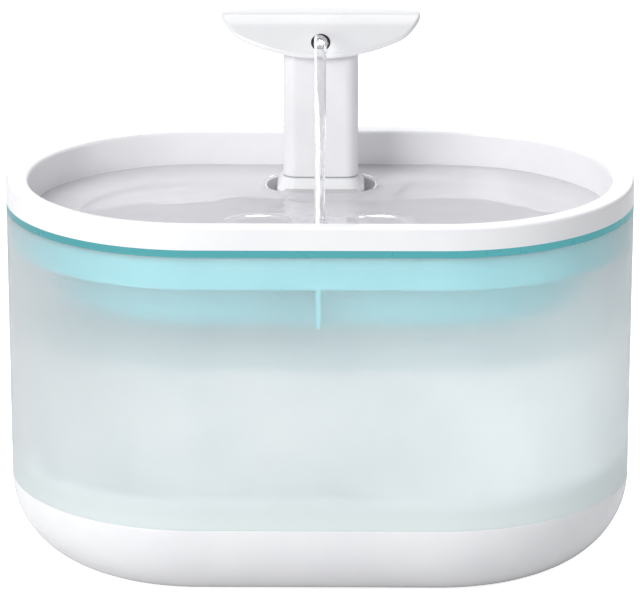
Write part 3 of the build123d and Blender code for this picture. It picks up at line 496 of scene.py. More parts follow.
@dataclass(frozen=True)
class AeratedStream(Finish):
    """A thin falling stream: clear water with one white strand of fine bubbles in it, kept to its left
    side, where it also stands as a painted highlight.

    Attributes:
        name: the material's name.
        clear: the tint of the clear water.
        white: the colour of the strand, which is partly a painted highlight.
        top: the height in millimetres that the strand starts to drift at.
        drift: how far down it has drifted.
        places: the strand's middle along X at its top and after its drift, left of the stream's middle, on
            its lit side.
        width: the strand's half width.
        fade: where the strand's edge starts and ends, as shares of that half width.
        shake: how far the strand wanders to each side, in millimetres.
        clearness: the share of light that goes through the clear water, and through the strand.
        ripple: the size and depth in millimetres of the ripple on the stream.
        drawn_out: the ripple's frequency down the fall against that across it.
        roughness: the roughness of the stream's face.
    """

    name: str
    clear: str
    white: str
    top: float
    drift: float
    places: tuple[float, float]
    width: float
    fade: tuple[float, float] = (0.6, 1.4)
    shake: float = 0.7
    clearness: tuple[float, float] = (0.85, 0.1)
    ripple: tuple[float, float] = (2.5, 0.05)
    drawn_out: float = 0.12
    roughness: float = 0.04

    def wire(self, tree: bpy.types.NodeTree) -> bpy.types.NodeSocket:
        """Adds the clear body, the strand with its painted highlight and the ripple that is drawn out along
        the fall.

        Args:
            tree: an empty material tree.

        Returns:
            The shader output that the surface takes.
        """
        size, depth = self.ripple
        drawn = surface_noise(tree, size, GRAIN_DETAIL, (1.0, 1.0, self.drawn_out))
        # The strand is partly a painted highlight: white on the stream's left, the side that the key light
        # falls on.
        strand = self.strand(tree, drawn)
        thin = {"Value": strand, "To Min": self.clearness[0], "To Max": self.clearness[1]}
        inputs = {
            "Base Color": between(tree, strand, linear(self.clear), linear(self.white)),
            "Transmission Weight": add_node(tree, "ShaderNodeMapRange", thin).outputs["Result"],
            "Roughness": self.roughness,
            "IOR": WATER_IOR,
            "Normal": bump(tree, drawn, depth),
        }
        body = add_node(tree, "ShaderNodeBsdfPrincipled", inputs).outputs["BSDF"]
        return lamp_light_through(tree, body, self.clear)

    def strand(self, tree: bpy.types.NodeTree, drawn: bpy.types.NodeSocket) -> bpy.types.NodeSocket:
        """Adds the strand of bubbles and painted highlight, which drifts and wanders on its way down.

        Args:
            tree: the material's node tree.
            drawn: the stream's ripple, which also shakes the strand.

        Returns:
            The output that is 1 in the strand and 0 beside it.
        """
        axes = part_axes(tree)
        straight, drifted = (place * MM for place in self.places)
        middle = ramp(tree, axes["Z"], (self.drift, self.top), (drifted, straight))
        wander = self.shake * MM
        line = math_node(tree, "ADD", middle, math_node(tree, "MULTIPLY_ADD", drawn, 2.0 * wander, -wander))
        away = math_node(tree, "ABSOLUTE", math_node(tree, "SUBTRACT", axes["X"], line))
        start, end = (share * self.width for share in self.fade)
        return ramp(tree, away, (start, end), (1.0, 0.0))


@dataclass(frozen=True)
class GroundMetal(Finish):
    """A ground, drawn or pressed metal with its fine marks along one axis.

    Attributes:
        name: the material's name.
        colour: its colour.
        worn: its colour where it has dulled.
        roughness: its typical roughness.
        marks: the frequency of its marks along X, Y and Z against each other.
        pitch: the marks' spacing in millimetres.
        mark_depth: the marks' depth in millimetres.
        worn_size: a dulled patch's size in millimetres.
        swing: how far the marks move the roughness, as shares of it.
    """

    name: str
    colour: str
    worn: str
    roughness: float
    marks: tuple[float, float, float]
    pitch: float
    mark_depth: float = 0.01
    worn_size: float = 6.0
    swing: tuple[float, float] = (0.8, 1.3)

    def wire(self, tree: bpy.types.NodeTree) -> bpy.types.NodeSocket:
        """Adds the dulled patches and the fine marks.

        Args:
            tree: an empty material tree.

        Returns:
            The shader output that the surface takes.
        """
        marks = surface_noise(tree, self.pitch, GRAIN_DETAIL, self.marks)
        worn = surface_noise(tree, self.worn_size)
        low, high = (share * self.roughness for share in self.swing)
        inputs = {
            "Base Color": between(tree, worn, linear(self.colour), linear(self.worn)),
            "Metallic": 1.0,
            "Roughness": spread(tree, marks, low, high),
            "Normal": bump(tree, marks, self.mark_depth),
        }
        return add_node(tree, "ShaderNodeBsdfPrincipled", inputs).outputs["BSDF"]


class Lay(Enum):
    """How the wires or sheets of a stack lie: Blender's wave type and the axis across them."""

    TURNS = ("RINGS", "Z")
    ALONG_X = ("BANDS", "X")
    ALONG_Z = ("BANDS", "Z")


@dataclass(frozen=True)
class Stacked(Finish):
    """Enamelled wire or lacquered sheets that lie side by side, with a line of painted shade between each
    two.

    Attributes:
        name: the material's name.
        colour: the colour of the wire or sheet.
        gap: the colour of the painted shade line between.
        metallic: how metallic it looks, which is less under lacquer.
        roughness: its typical roughness.
        lay: how they lie.
        pitch: the wire's or sheet's thickness in millimetres.
        middle: the point that rings turn round, in millimetres.
        ridge: a ridge's height, as a share of the pitch.
        dull_size: the size in millimetres of the patches that are a little duller.
        swing: how far those patches move the roughness, as shares of it.
    """

    name: str
    colour: str
    gap: str
    metallic: float
    roughness: float
    lay: Lay
    pitch: float
    middle: tuple[float, float, float] = (0.0, 0.0, 0.0)
    ridge: float = 0.3
    dull_size: float = 3.0
    swing: tuple[float, float] = (0.8, 1.2)

    def wire(self, tree: bpy.types.NodeTree) -> bpy.types.NodeSocket:
        """Adds the wires or sheets as a wave, with relief and a line of painted shade at each trough.

        Args:
            tree: an empty material tree.

        Returns:
            The shader output that the surface takes.
        """
        wave_type, axis = self.lay.value
        waves_per_scale = 20.0 / (2.0 * math.pi)  # a band wave at scale 1 has this many crests to the metre
        place = add_node(tree, "ShaderNodeTexCoord").outputs["Object"]
        back = tuple(-value * MM for value in self.middle)
        centred = add_node(tree, "ShaderNodeMapping", {"Vector": place, "Location": back}).outputs["Vector"]
        settings = {"wave_type": wave_type, "bands_direction": axis, "rings_direction": axis}
        inputs = {"Vector": centred, "Scale": 1.0 / (self.pitch * MM * waves_per_scale)}
        wave = add_node(tree, "ShaderNodeTexWave", inputs, settings).outputs["Fac"]
        # The troughs between wires or sheets darken to the gap colour: painted shade.
        crest = spread(tree, wave, 0.0, 1.0)
        low, high = (share * self.roughness for share in self.swing)
        inputs = {
            "Base Color": between(tree, crest, linear(self.gap), linear(self.colour)),
            "Metallic": self.metallic,
            "Roughness": spread(tree, surface_noise(tree, self.dull_size), low, high),
            "Normal": bump(tree, wave, self.ridge * self.pitch),
        }
        return add_node(tree, "ShaderNodeBsdfPrincipled", inputs).outputs["BSDF"]


@dataclass(frozen=True)
class CircuitBoard(Finish):
    """Glass-fibre board under green solder mask, with black parts standing on it.

    Attributes:
        name: the material's name.
        top: the height of the board's upper face in millimetres.
        mask: the solder mask's two greens.
        track: the mask's green over a copper track.
        part: the colour of the moulded parts.
        track_pitch: the tracks' spacing in millimetres.
        track_width: a track's width, as a share of that spacing.
        part_from: how far above the board its parts' colour starts and is full, in millimetres.
        roughness: the roughness of its glossiest and dullest patches.
        patch: such a patch's size in millimetres.
        weave: the size and depth in millimetres of the glass weave that shows through the mask.
    """

    name: str
    top: float
    mask: tuple[str, str] = ("1B6B45", "1F7A4E")
    track: str = "3A8C5E"
    part: str = "1D1E21"
    track_pitch: float = 9.0
    track_width: float = 0.03
    part_from: tuple[float, float] = (0.1, 0.2)
    roughness: tuple[float, float] = (0.3, 0.5)
    patch: float = 2.0
    weave: tuple[float, float] = (0.8, 0.02)

    def wire(self, tree: bpy.types.NodeTree) -> bpy.types.NodeSocket:
        """Adds the mask with its tracks, and the moulded parts above the board.

        Args:
            tree: an empty material tree.

        Returns:
            The shader output that the surface takes.
        """
        pattern = {
            "Vector": add_node(tree, "ShaderNodeTexCoord").outputs["Object"],
            "Color1": linear(self.mask[0]),
            "Color2": linear(self.mask[1]),
            "Mortar": linear(self.track),
            "Scale": 1.0 / (self.track_pitch * MM),
            "Mortar Size": self.track_width,
        }
        tracks = add_node(tree, "ShaderNodeTexBrick", pattern).outputs["Color"]
        start, end = (self.top + above for above in self.part_from)
        part = ramp(tree, part_axes(tree)["Z"], (start, end), eased=False)
        size, depth = self.weave
        inputs = {
            "Base Color": between(tree, part, tracks, linear(self.part)),
            "Roughness": spread(tree, surface_noise(tree, self.patch), *self.roughness),
            "Normal": bump(tree, surface_noise(tree, size), depth),
        }
        return add_node(tree, "ShaderNodeBsdfPrincipled", inputs).outputs["BSDF"]


@dataclass(frozen=True)
class Fibrous(Finish):
    """Needled felt, open-cell foam or a bed of granules: a matt surface with painted shade in the gaps of
    its grain.

    Attributes:
        name: the material's name.
        colour: the colour of a fibre, cell wall or granule.
        shade: the colour of the painted shade in the gaps.
        size: a fibre bundle's, cell's or granule's size in millimetres.
        depth: the relief's depth in millimetres.
        sheen: how far loose fibres catch the light.
        fuzz: the size of the finer fuzz, as a share of the size.
        roughness: its roughness.
    """

    name: str
    colour: str
    shade: str
    size: float
    depth: float
    sheen: float = 0.0
    fuzz: float = 0.4
    roughness: float = 0.95

    def wire(self, tree: bpy.types.NodeTree) -> bpy.types.NodeSocket:
        """Adds the cells or fibres, with painted shade in the gaps, and a finer fuzz over them.

        Args:
            tree: an empty material tree.

        Returns:
            The shader output that the surface takes.
        """
        place = add_node(tree, "ShaderNodeTexCoord").outputs["Object"]
        inputs = {"Vector": place, "Scale": 1.0 / (self.size * MM), "Randomness": 1.0}
        cells = add_node(tree, "ShaderNodeTexVoronoi", inputs).outputs["Distance"]
        fuzz = surface_noise(tree, self.fuzz * self.size, 4.0)
        both = math_node(tree, "MULTIPLY", cells, fuzz)
        # The gaps between cells, fibres or granules take the shade colour: painted shade.
        gap = spread(tree, both, 0.0, 1.0)
        inputs = {
            "Base Color": between(tree, gap, linear(self.colour), linear(self.shade)),
            "Roughness": self.roughness,
            "Sheen Weight": self.sheen,
            "Normal": bump(tree, both, self.depth),
        }
        return add_node(tree, "ShaderNodeBsdfPrincipled", inputs).outputs["BSDF"]


# Polished ABS: a hard, even gloss with a faint swim in its reflections.
WHITE_ABS = MouldedPlastic("abs_white_polished", "F3F3F4", "EEEEF0", 0.2, Grain.POLISHED)
# Satin ABS: the same white with a soft, broad highlight.
SATIN_ABS = MouldedPlastic("abs_white_satin", "ECECED", "E6E6E8", 0.42, Grain.SATIN)
# Clear polystyrene, bead blasted inside: a milky wall that blurs what stands away from it.
FROSTED_STYRENE = MilkyPlastic(
    "polystyrene_frosted", "F6F6F7", "F0F1F3", 0.86, 0.32, "F7F8F8", 0.12, "E4ECEC", 46.0, 9.0, Grain.SATIN
)
# Aqua polypropylene: waxy, half see-through, so its edges glow.
AQUA_PROPYLENE = TintedPlastic("polypropylene_aqua", "74C6CC", "6CC0C7", "44989E", 131.0, 0.3, Grain.SATIN)
# Grey ABS from an eroded mould: dull, with a pebbled face.
GREY_ABS = MouldedPlastic("abs_grey_eroded", "9AA0A6", "92989E", 0.5, Grain.ERODED)
# White acetal: slippery, slightly waxy, for bushes and the turning wheel.
WHITE_ACETAL = MouldedPlastic("acetal_white", "F0F0EA", "E9E9E2", 0.35, Grain.SATIN, 0.5)
# Grey silicone: soft and translucent, with a dry, even sheen.
GREY_SILICONE = MouldedPlastic("silicone_grey", "B4B7BA", "A9ACAF", 0.55, Grain.BLASTED, 1.2)
# Black nitrile rubber: dark grey where light grazes its matt face.
BLACK_NITRILE = MouldedPlastic("nitrile_black", "1A1B1D", "232527", 0.5, Grain.BLASTED)
# Black nylon, moulded: harder and glossier than rubber.
BLACK_NYLON = MouldedPlastic("nylon_black", "17181A", "1E1F22", 0.35, Grain.SATIN)
# Stainless steel, ground: cool, with fine turned marks.
GROUND_STEEL = GroundMetal("stainless_steel_ground", "C9CCD0", "B3B6BA", 0.28, (14.0, 1.0, 1.0), 0.8)
# Sintered magnet ferrite: near-black, dense and gritty.
MAGNET_FERRITE = MouldedPlastic("ferrite_sintered", "2A2B2E", "333438", 0.6, Grain.ERODED)
# Lacquered silicon-steel sheets: dark grey, with a line of painted shade for each sheet.
STEEL_SHEETS = Stacked("silicon_steel_sheets", "6E7278", "2B2D30", 0.6, 0.45, Lay.ALONG_X, 0.7)
# Enamelled copper wire, wound: warm and glossy, one ridge to each turn and painted shade between turns.
COPPER_TURNS = Stacked("copper_enamelled_turns", "C8743A", "5A2B12", 1.0, 0.3, Lay.ALONG_Z, 0.6)
# Needled polyester felt: white, matt, with loose fibres that catch the light and painted shade between
# them.
FELT = Fibrous("polyester_felt_needled", "F4F4F1", "CFD2D3", 1.1, 0.35, 0.3)
# Reticulated polyurethane foam: pale struts, with painted shade in the open cells between them.
FOAM = Fibrous("polyurethane_foam_open", "5B5F63", "1C1E20", 1.3, 0.7)
# Coconut-shell carbon with resin beads: black, gritty granules, with painted shade between them.
CARBON = Fibrous("carbon_granules", "3A3B3D", "0E0F10", 1.6, 0.6)
# Basin water: pale with the fine bubbles that the stream takes down, under a glossy face; its grey tint is
# partly painted shade that keeps the lit basin a mid grey.
BASIN_WATER = Water("water_basin", "D6D5D8", "D0CFD2", 7.0, 0.01, 0.7)
# Stream water: clear and drawn smooth by its fall, with one white strand of bubbles that is partly a
# painted highlight on its left side.
STREAM_WATER = AeratedStream("water_stream", "E2E2E5", "FCFDFD", 182.0, 154.0, (-2.1, -0.7), 0.8)
# Tank water against the blasted wall: full of fine bubbles, so it is pale and even.
TANK_WATER = MilkyPlastic(
    "water_aerated", "F2F5F5", "EEF2F2", 0.1, 0.3, "F4FBFC", 0.6, "F2F5F5", 40.0, 4.0, Grain.POLISHED
)
# Tank water from above: clear, with the shake of the pump.
STILL_WATER = Water("water_still", "F4FAFB", "EAF4F6", 9.0, 0.06)


# ---------------------------------------------------------------- shapes


@dataclass(frozen=True)
class NodeBox:
    """A CAD node's box at rest, in millimetres.

    Attributes:
        low: its lowest corner.
        high: its highest corner.
    """

    low: Vector
    high: Vector

    @classmethod
    def of(cls, node: str) -> "NodeBox":
        """Reads a node's box from the frame."""
        low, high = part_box(node)
        return cls(low / MM, high / MM)

    @property
    def middle(self) -> Vector:
        """The box's centre."""
        return (self.low + self.high) / 2.0


@dataclass(frozen=True)
class CapsulePlan:
    """An outline of two half circles and the two straights between them, about the Z axis.

    Attributes:
        half_straight: half the length of a straight.
        radius: the half circles' radius.
    """

    half_straight: float
    radius: float

    def distance(self, x: float, y: float) -> float:
        """Gives how far a point lies outside the outline, negative inside."""
        return math.hypot(max(abs(x) - self.half_straight, 0.0), y) - self.radius

    def inset(self, amount: float) -> "CapsulePlan":
        """Gives the same outline moved inwards."""
        return CapsulePlan(self.half_straight, self.radius - amount)

    def draw(
        self, mesh: bmesh.types.BMesh, round_steps: int, straight_steps: int
    ) -> list[bmesh.types.BMVert]:
        """Adds the outline to a mesh as one closed loop.

        Args:
            mesh: the mesh it goes into.
            round_steps: how many edges the two half circles have together.
            straight_steps: how many edges each straight has.

        Returns:
            The loop's vertices.
        """
        turned = Matrix.Rotation(math.pi / round_steps, 4, "Z")
        circle = bmesh.ops.create_circle(mesh, radius=self.radius, segments=round_steps, matrix=turned)
        ring = circle["verts"]
        for side in (-1.0, 1.0):
            half = [v for v in ring if v.co.x * side > 0.0]
            bmesh.ops.translate(mesh, verts=half, vec=(side * self.half_straight, 0.0, 0.0))
        edges = {e for v in ring for e in v.link_edges}
        straights = [e for e in edges if e.verts[0].co.x * e.verts[1].co.x < 0.0]
        bmesh.ops.subdivide_edges(mesh, edges=straights, cuts=straight_steps - 1)
        return list({v for e in mesh.edges if e.is_wire for v in e.verts})


@dataclass(frozen=True)
class OblongPlan:
    """A rectangle with round corners, its middle on the Y axis.

    Attributes:
        length: its length along X.
        depth: its depth along Y.
        corner: the radius of its corners.
        middle_y: its middle along Y.
        halvings: how many times a search for its edge halves the distance.
    """

    length: float
    depth: float
    corner: float
    middle_y: float
    halvings: int = 30

    def distance(self, x: float, y: float) -> float:
        """Gives how far a point lies outside the outline.

        Args:
            x: the point's place along X.
            y: the point's place along Y.

        Returns:
            The distance, negative inside.
        """
        across = abs(x) - self.length / 2.0 + self.corner
        along = abs(y - self.middle_y) - self.depth / 2.0 + self.corner
        outside = math.hypot(max(across, 0.0), max(along, 0.0))
        return outside + min(max(across, along), 0.0) - self.corner

    def edge_towards(self, x: float, y: float) -> Vector:
        """Finds where the line from the outline's middle to a point crosses the outline.

        Args:
            x: the point's place along X.
            y: the point's place along Y.

        Returns:
            The crossing, at a height of zero.
        """
        middle = Vector((0.0, self.middle_y, 0.0))
        way = (Vector((x, y, 0.0)) - middle).normalized()
        near, far = 0.0, self.length
        for _ in range(self.halvings):
            reach = (near + far) / 2.0
            point = middle + way * reach
            near, far = (reach, far) if self.distance(point.x, point.y) < 0.0 else (near, reach)
        return middle + way * near


def smooth_step(value: float) -> float:
    """Eases a value from 0 to 1."""
    held = min(max(value, 0.0), 1.0)
    return held * held * (3.0 - 2.0 * held)


def finish_piece(
    name: str, mesh: bmesh.types.BMesh, finish: Finish, smooth: bool = True
) -> bpy.types.Object:
    """Turns a finished mesh into a piece at the origin, in metres.

    Args:
        name: the piece's name.
        mesh: the mesh in millimetres, which is used up.
        finish: what it is dressed in.
        smooth: whether its faces are shaded as one surface.

    Returns:
        The piece, linked to the scene.
    """
    bmesh.ops.recalc_face_normals(mesh, faces=mesh.faces)
    bmesh.ops.scale(mesh, verts=mesh.verts, vec=(MM, MM, MM))
    for face in mesh.faces:
        face.smooth = smooth
    data = bpy.data.meshes.new(name)
    mesh.to_mesh(data)
    mesh.free()
    piece = bpy.data.objects.new(name, data)
    bpy.context.scene.collection.objects.link(piece)
    finish.dress(piece)
    return piece


def soft_copy(node: str, voxel: float) -> bmesh.types.BMesh:
    """Makes an even, closed mesh with the outer shape of a soft node.

    Args:
        node: the CAD node.
        voxel: the mesh's spacing in millimetres.

    Returns:
        The mesh, in millimetres.
    """
    source = bmesh.new()
    source.from_mesh(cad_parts[node].data)
    bmesh.ops.remove_doubles(source, verts=source.verts, dist=WELD_DISTANCE * MM)
    data = bpy.data.meshes.new(node + "_copy")
    source.to_mesh(data)
    source.free()
    helper = bpy.data.objects.new(node + "_copy", data)
    bpy.context.scene.collection.objects.link(helper)
    remesh = helper.modifiers.new("even", "REMESH")
    remesh.mode = "VOXEL"
    remesh.voxel_size = voxel * MM
    bpy.context.view_layer.update()
    even = helper.evaluated_get(bpy.context.evaluated_depsgraph_get())
    mesh = bmesh.new()
    mesh.from_mesh(even.to_mesh())
    even.to_mesh_clear()
    bpy.data.objects.remove(helper)
    bpy.data.meshes.remove(data)
    bmesh.ops.scale(mesh, verts=mesh.verts, vec=(1.0 / MM,) * 3)
    return mesh


def new_verts(geometry: Iterable[Any]) -> list[bmesh.types.BMVert]:
    """Picks the vertices out of what an operator made."""
    return [g for g in geometry if isinstance(g, bmesh.types.BMVert)]


def new_edges(geometry: Iterable[Any]) -> list[bmesh.types.BMEdge]:
    """Picks the edges out of what an operator made."""
    return [g for g in geometry if isinstance(g, bmesh.types.BMEdge)]


def relax(mesh: bmesh.types.BMesh, rounds: int = 2) -> None:
    """Rounds the edges of a soft piece's mesh.

    Args:
        mesh: the mesh.
        rounds: how many times it is smoothed.
    """
    axes = {"use_axis_x": True, "use_axis_y": True, "use_axis_z": True}
    for _ in range(rounds):
        bmesh.ops.smooth_vert(mesh, verts=mesh.verts, factor=0.5, **axes)


# ---------------------------------------------------------------- sub-assemblies


class SubAssembly(ABC):
    """Pieces that one CAD body carries, with the finish of each of its nodes.

    Attributes:
        body: the CAD body.
        finishes: the finish of each of its nodes.
    """

    body: str
    finishes: dict[str, Finish]

    def dress(self) -> Iterator[bpy.types.Object]:
        """Gives each CAD node of the body its finish, and smooths the shading of its curves.

        Returns:
            The body's nodes, one by one.
        """
        for name, finish in self.finishes.items():
            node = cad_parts[name]
            finish.dress(node)
            node.data.shade_smooth()
            weld = node.modifiers.new("weld", "WELD")
            weld.merge_threshold = WELD_DISTANCE * MM
            split = node.modifiers.new("crisp_edges", "EDGE_SPLIT")
            split.split_angle = SMOOTH_ANGLE
            yield node

    def build(self) -> Iterator[bpy.types.Object]:
        """Builds the pieces that the body carries besides its CAD nodes, of which most bodies have none."""
        return iter(())

    def place(self, piece: bpy.types.Object, slot: str | None = None) -> bpy.types.Object:
        """Makes a new piece ride the body.

        Args:
            piece: the piece.
            slot: the record's material slot for the piece, if it has one; not used.

        Returns:
            The same piece.
        """
        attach(piece, self.body)
        return piece


def flat_coil(name: str, node: str, wire: float) -> Stacked:
    """Gives the finish of enamelled wire, with a thickness in millimetres, wound flat round a node."""
    middle = tuple(NodeBox.of(node).middle)
    return replace(COPPER_TURNS, name=name, lay=Lay.TURNS, pitch=wire, middle=middle)


@dataclass
class PowerBase(SubAssembly):
    """The white base with its deck, its feet, and the charging coil and board inside.

    Attributes:
        board: the thickness of the control board's own plate.
        coil_wire: the thickness of the charging coil's wire.
    """

    body: str = "base"
    board: float = 1.6
    coil_wire: float = 0.8

    def __post_init__(self) -> None:
        """Sets the finish of each of the base's nodes."""
        board_top = NodeBox.of("control_board").low.z + self.board
        self.finishes = {
            "base_shell": WHITE_ABS,
            "base_deck": SATIN_ABS,
            "bottom_cover": SATIN_ABS,
            "base_screws": GROUND_STEEL,
            "power_socket": BLACK_NYLON,
            "socket_gasket": BLACK_NITRILE,
            "control_board": CircuitBoard("glass_fibre_board", board_top),
            "transmitter_coil": flat_coil("copper_enamelled_spiral", "transmitter_coil", self.coil_wire),
            "ferrite_plate": MAGNET_FERRITE,
            "coil_holder": BLACK_NYLON,
        }
        self.finishes |= {f"foot_pad_{number}": GREY_SILICONE for number in range(1, 5)}


@dataclass
class Tank(SubAssembly):
    """The frosted tank and the water in it.

    Attributes:
        wall: the tank's wall.
        clearance: the thin gap kept between the wall and the water's own surface.
        floor: the height of the tank's floor above its underside.
        floor_round: the round between the tank's wall and floor.
        depth: the water's depth.
        meniscus: how far the water climbs the wall.
        climb_width: how far in from the wall that climb starts.
        steps: how many edges the water's two half circles have together, and each straight.
        round_steps: how many faces the round at its floor has.
    """

    body: str = "tank"
    wall: float = 2.4
    clearance: float = 0.3
    floor: float = 5.2
    floor_round: float = 5.0
    depth: float = 52.0
    meniscus: float = 0.8
    climb_width: float = 2.0
    steps: tuple[int, int] = (96, 12)
    round_steps: int = 5

    def __post_init__(self) -> None:
        """Sets the finish of the tank."""
        self.finishes = {"tank": FROSTED_STYRENE}

    def build(self) -> Iterator[bpy.types.Object]:
        """Builds the tank's water: its outline raised, rounded below and drawn up at the wall.

        Returns:
            The water.
        """
        box = NodeBox.of("tank")
        outline = CapsulePlan(box.high.x - box.high.y, box.high.y).inset(self.wall + self.clearance)
        low = box.low.z + self.floor + self.clearance
        mesh = bmesh.new()
        loop = outline.draw(mesh, *self.steps)
        bmesh.ops.translate(mesh, verts=loop, vec=(0.0, 0.0, low))
        floor = bmesh.ops.contextual_create(mesh, geom=list(mesh.edges))["faces"]
        rim = list(floor[0].edges)
        raised = bmesh.ops.extrude_face_region(mesh, geom=floor, use_keep_orig=True)["geom"]
        bmesh.ops.translate(mesh, verts=new_verts(raised), vec=(0.0, 0.0, self.depth))
        bmesh.ops.bevel(
            mesh,
            geom=rim,
            offset=self.floor_round - self.clearance,
            segments=self.round_steps,
            affect="EDGES",
            profile=0.5,
            material=-1,
        )
        top = max(mesh.faces, key=lambda f: f.calc_center_median().z)
        edge = list(top.verts)
        bmesh.ops.inset_region(mesh, faces=[top], thickness=self.climb_width, use_even_offset=True)
        bmesh.ops.translate(mesh, verts=edge, vec=(0.0, 0.0, self.meniscus))
        for face in mesh.faces:
            if face.calc_center_median().z > low + self.depth - self.meniscus:
                face.material_index = SURFACE_SLOT
        water = finish_piece("tank_water", mesh, TANK_WATER)
        water.data.materials.append(STILL_WATER.material())
        yield self.place(water)


@dataclass
class Pump(SubAssembly):
    """The pump's housing, motor and riser.

    Attributes:
        coil_wire: the thickness of the receiving coil's wire.
    """

    body: str = "pump"
    coil_wire: float = 0.7

    def __post_init__(self) -> None:
        """Sets the finish of each of the pump's nodes."""
        self.finishes = {
            "pump_housing": GREY_ABS,
            "pump_base_cap": GREY_ABS,
            "receiver_coil": flat_coil("copper_enamelled_disc", "receiver_coil", self.coil_wire),
            "stator_core": STEEL_SHEETS,
            "stator_winding": COPPER_TURNS,
            "impeller_shaft": GROUND_STEEL,
            "rear_shaft_bush": WHITE_ACETAL,
            "front_shaft_bush": WHITE_ACETAL,
            "volute_cover": GREY_ABS,
            "riser_tube": SATIN_ABS,
            "riser_ring": BLACK_NITRILE,
        }
        self.finishes |= {f"suction_foot_{number}": GREY_SILICONE for number in range(1, 5)}


@dataclass
class Impeller(SubAssembly):
    """The turning wheel and its magnet."""

    body: str = "impeller"

    def __post_init__(self) -> None:
        """Sets the finish of the wheel and the magnet."""
        self.finishes = {"impeller": WHITE_ACETAL, "rotor_magnet": MAGNET_FERRITE}


@dataclass
class IntakeCover(SubAssembly):
    """The slotted cover that slides off the pump, and the sponge behind its slots.

    Attributes:
        voxel: the sponge mesh's spacing.
        cell: the size of the sponge's open cells.
        cell_depth: how deep the cells cut its faces.
        cell_slope: how steeply a cell's sides fall.
    """

    body: str = "intake_cover"
    voxel: float = 0.7
    cell: float = 1.5
    cell_depth: float = 0.5
    cell_slope: float = 2.0

    def __post_init__(self) -> None:
        """Sets the finish of the cover."""
        self.finishes = {"intake_cover": GREY_ABS}

    def build(self) -> Iterator[bpy.types.Object]:
        """Builds the sponge from its solid's shape, with open cells in its faces.

        Returns:
            The sponge.
        """
        mesh = soft_copy("pump_sponge", self.voxel)
        relax(mesh)
        mesh.normal_update()
        for vertex in mesh.verts:
            nearest = noise.voronoi(vertex.co / self.cell)[0][0]
            vertex.co -= vertex.normal * self.cell_depth * (1.0 - smooth_step(self.cell_slope * nearest))
        piece = self.place(finish_piece("sponge_block", mesh, FOAM), "foam")
        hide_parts("pump_sponge")
        yield piece


@dataclass
class FilterTray(SubAssembly):
    """The aqua tray that hangs in the tank and holds the filter."""

    body: str = "filter_tray"

    def __post_init__(self) -> None:
        """Sets the finish of the tray."""
        self.finishes = {"filter_tray": AQUA_PROPYLENE}


@dataclass
class FilterCartridge(SubAssembly):
    """The lift-out cartridge: a frame, its granules and the felt over them.

    Attributes:
        voxel: the pads' mesh spacing.
        seam: the width of the felt's pressed edge.
        pressed: the share of its thickness that the pressed edge keeps.
        quilt: the spacing of the felt's soft waves.
        quilt_depth: how deep those waves go, as a share of its thickness.
        granule: a granule's size.
        granule_depth: how deep the gaps between granules go.
        granule_slope: how steeply a granule's sides fall.
    """

    body: str = "filter_cartridge"
    voxel: float = 1.0
    seam: float = 3.0
    pressed: float = 0.4
    quilt: float = 14.0
    quilt_depth: float = 0.12
    granule: float = 1.9
    granule_depth: float = 0.7
    granule_slope: float = 1.6

    def __post_init__(self) -> None:
        """Sets the finish of the frame."""
        self.finishes = {"filter_frame": SATIN_ABS}

    def build(self) -> Iterator[bpy.types.Object]:
        """Builds the felt and the granule bed."""
        yield self.felt()
        yield self.granules()

    def felt(self) -> bpy.types.Object:
        """Builds the felt pad: crowned, with soft waves and a pressed edge.

        Returns:
            The pad.
        """
        box = NodeBox.of("filter_cloth")
        outline = CapsulePlan(box.high.x - box.high.y, box.high.y)
        mesh = soft_copy("filter_cloth", self.voxel)
        relax(mesh)
        for vertex in mesh.verts:
            inside = -outline.distance(vertex.co.x, vertex.co.y)
            full = self.pressed + (1.0 - self.pressed) * smooth_step(inside / self.seam)
            wave = 1.0 - self.quilt_depth * (0.5 + 0.5 * noise.noise(vertex.co / self.quilt))
            vertex.co.z = box.low.z + (vertex.co.z - box.low.z) * full * wave
        piece = self.place(finish_piece("filter_felt_pad", mesh, FELT), "filter_felt")
        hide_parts("filter_cloth")
        return piece

    def granules(self) -> bpy.types.Object:
        """Builds the bed of granules, lumpy on every face.

        Returns:
            The bed.
        """
        mesh = soft_copy("filter_media", self.voxel)
        mesh.normal_update()
        for vertex in mesh.verts:
            nearest = noise.voronoi(vertex.co / self.granule)[0][0]
            vertex.co -= vertex.normal * self.granule_depth * smooth_step(self.granule_slope * nearest)
        piece = self.place(finish_piece("carbon_bed", mesh, CARBON), "carbon")
        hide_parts("filter_media")
        return piece


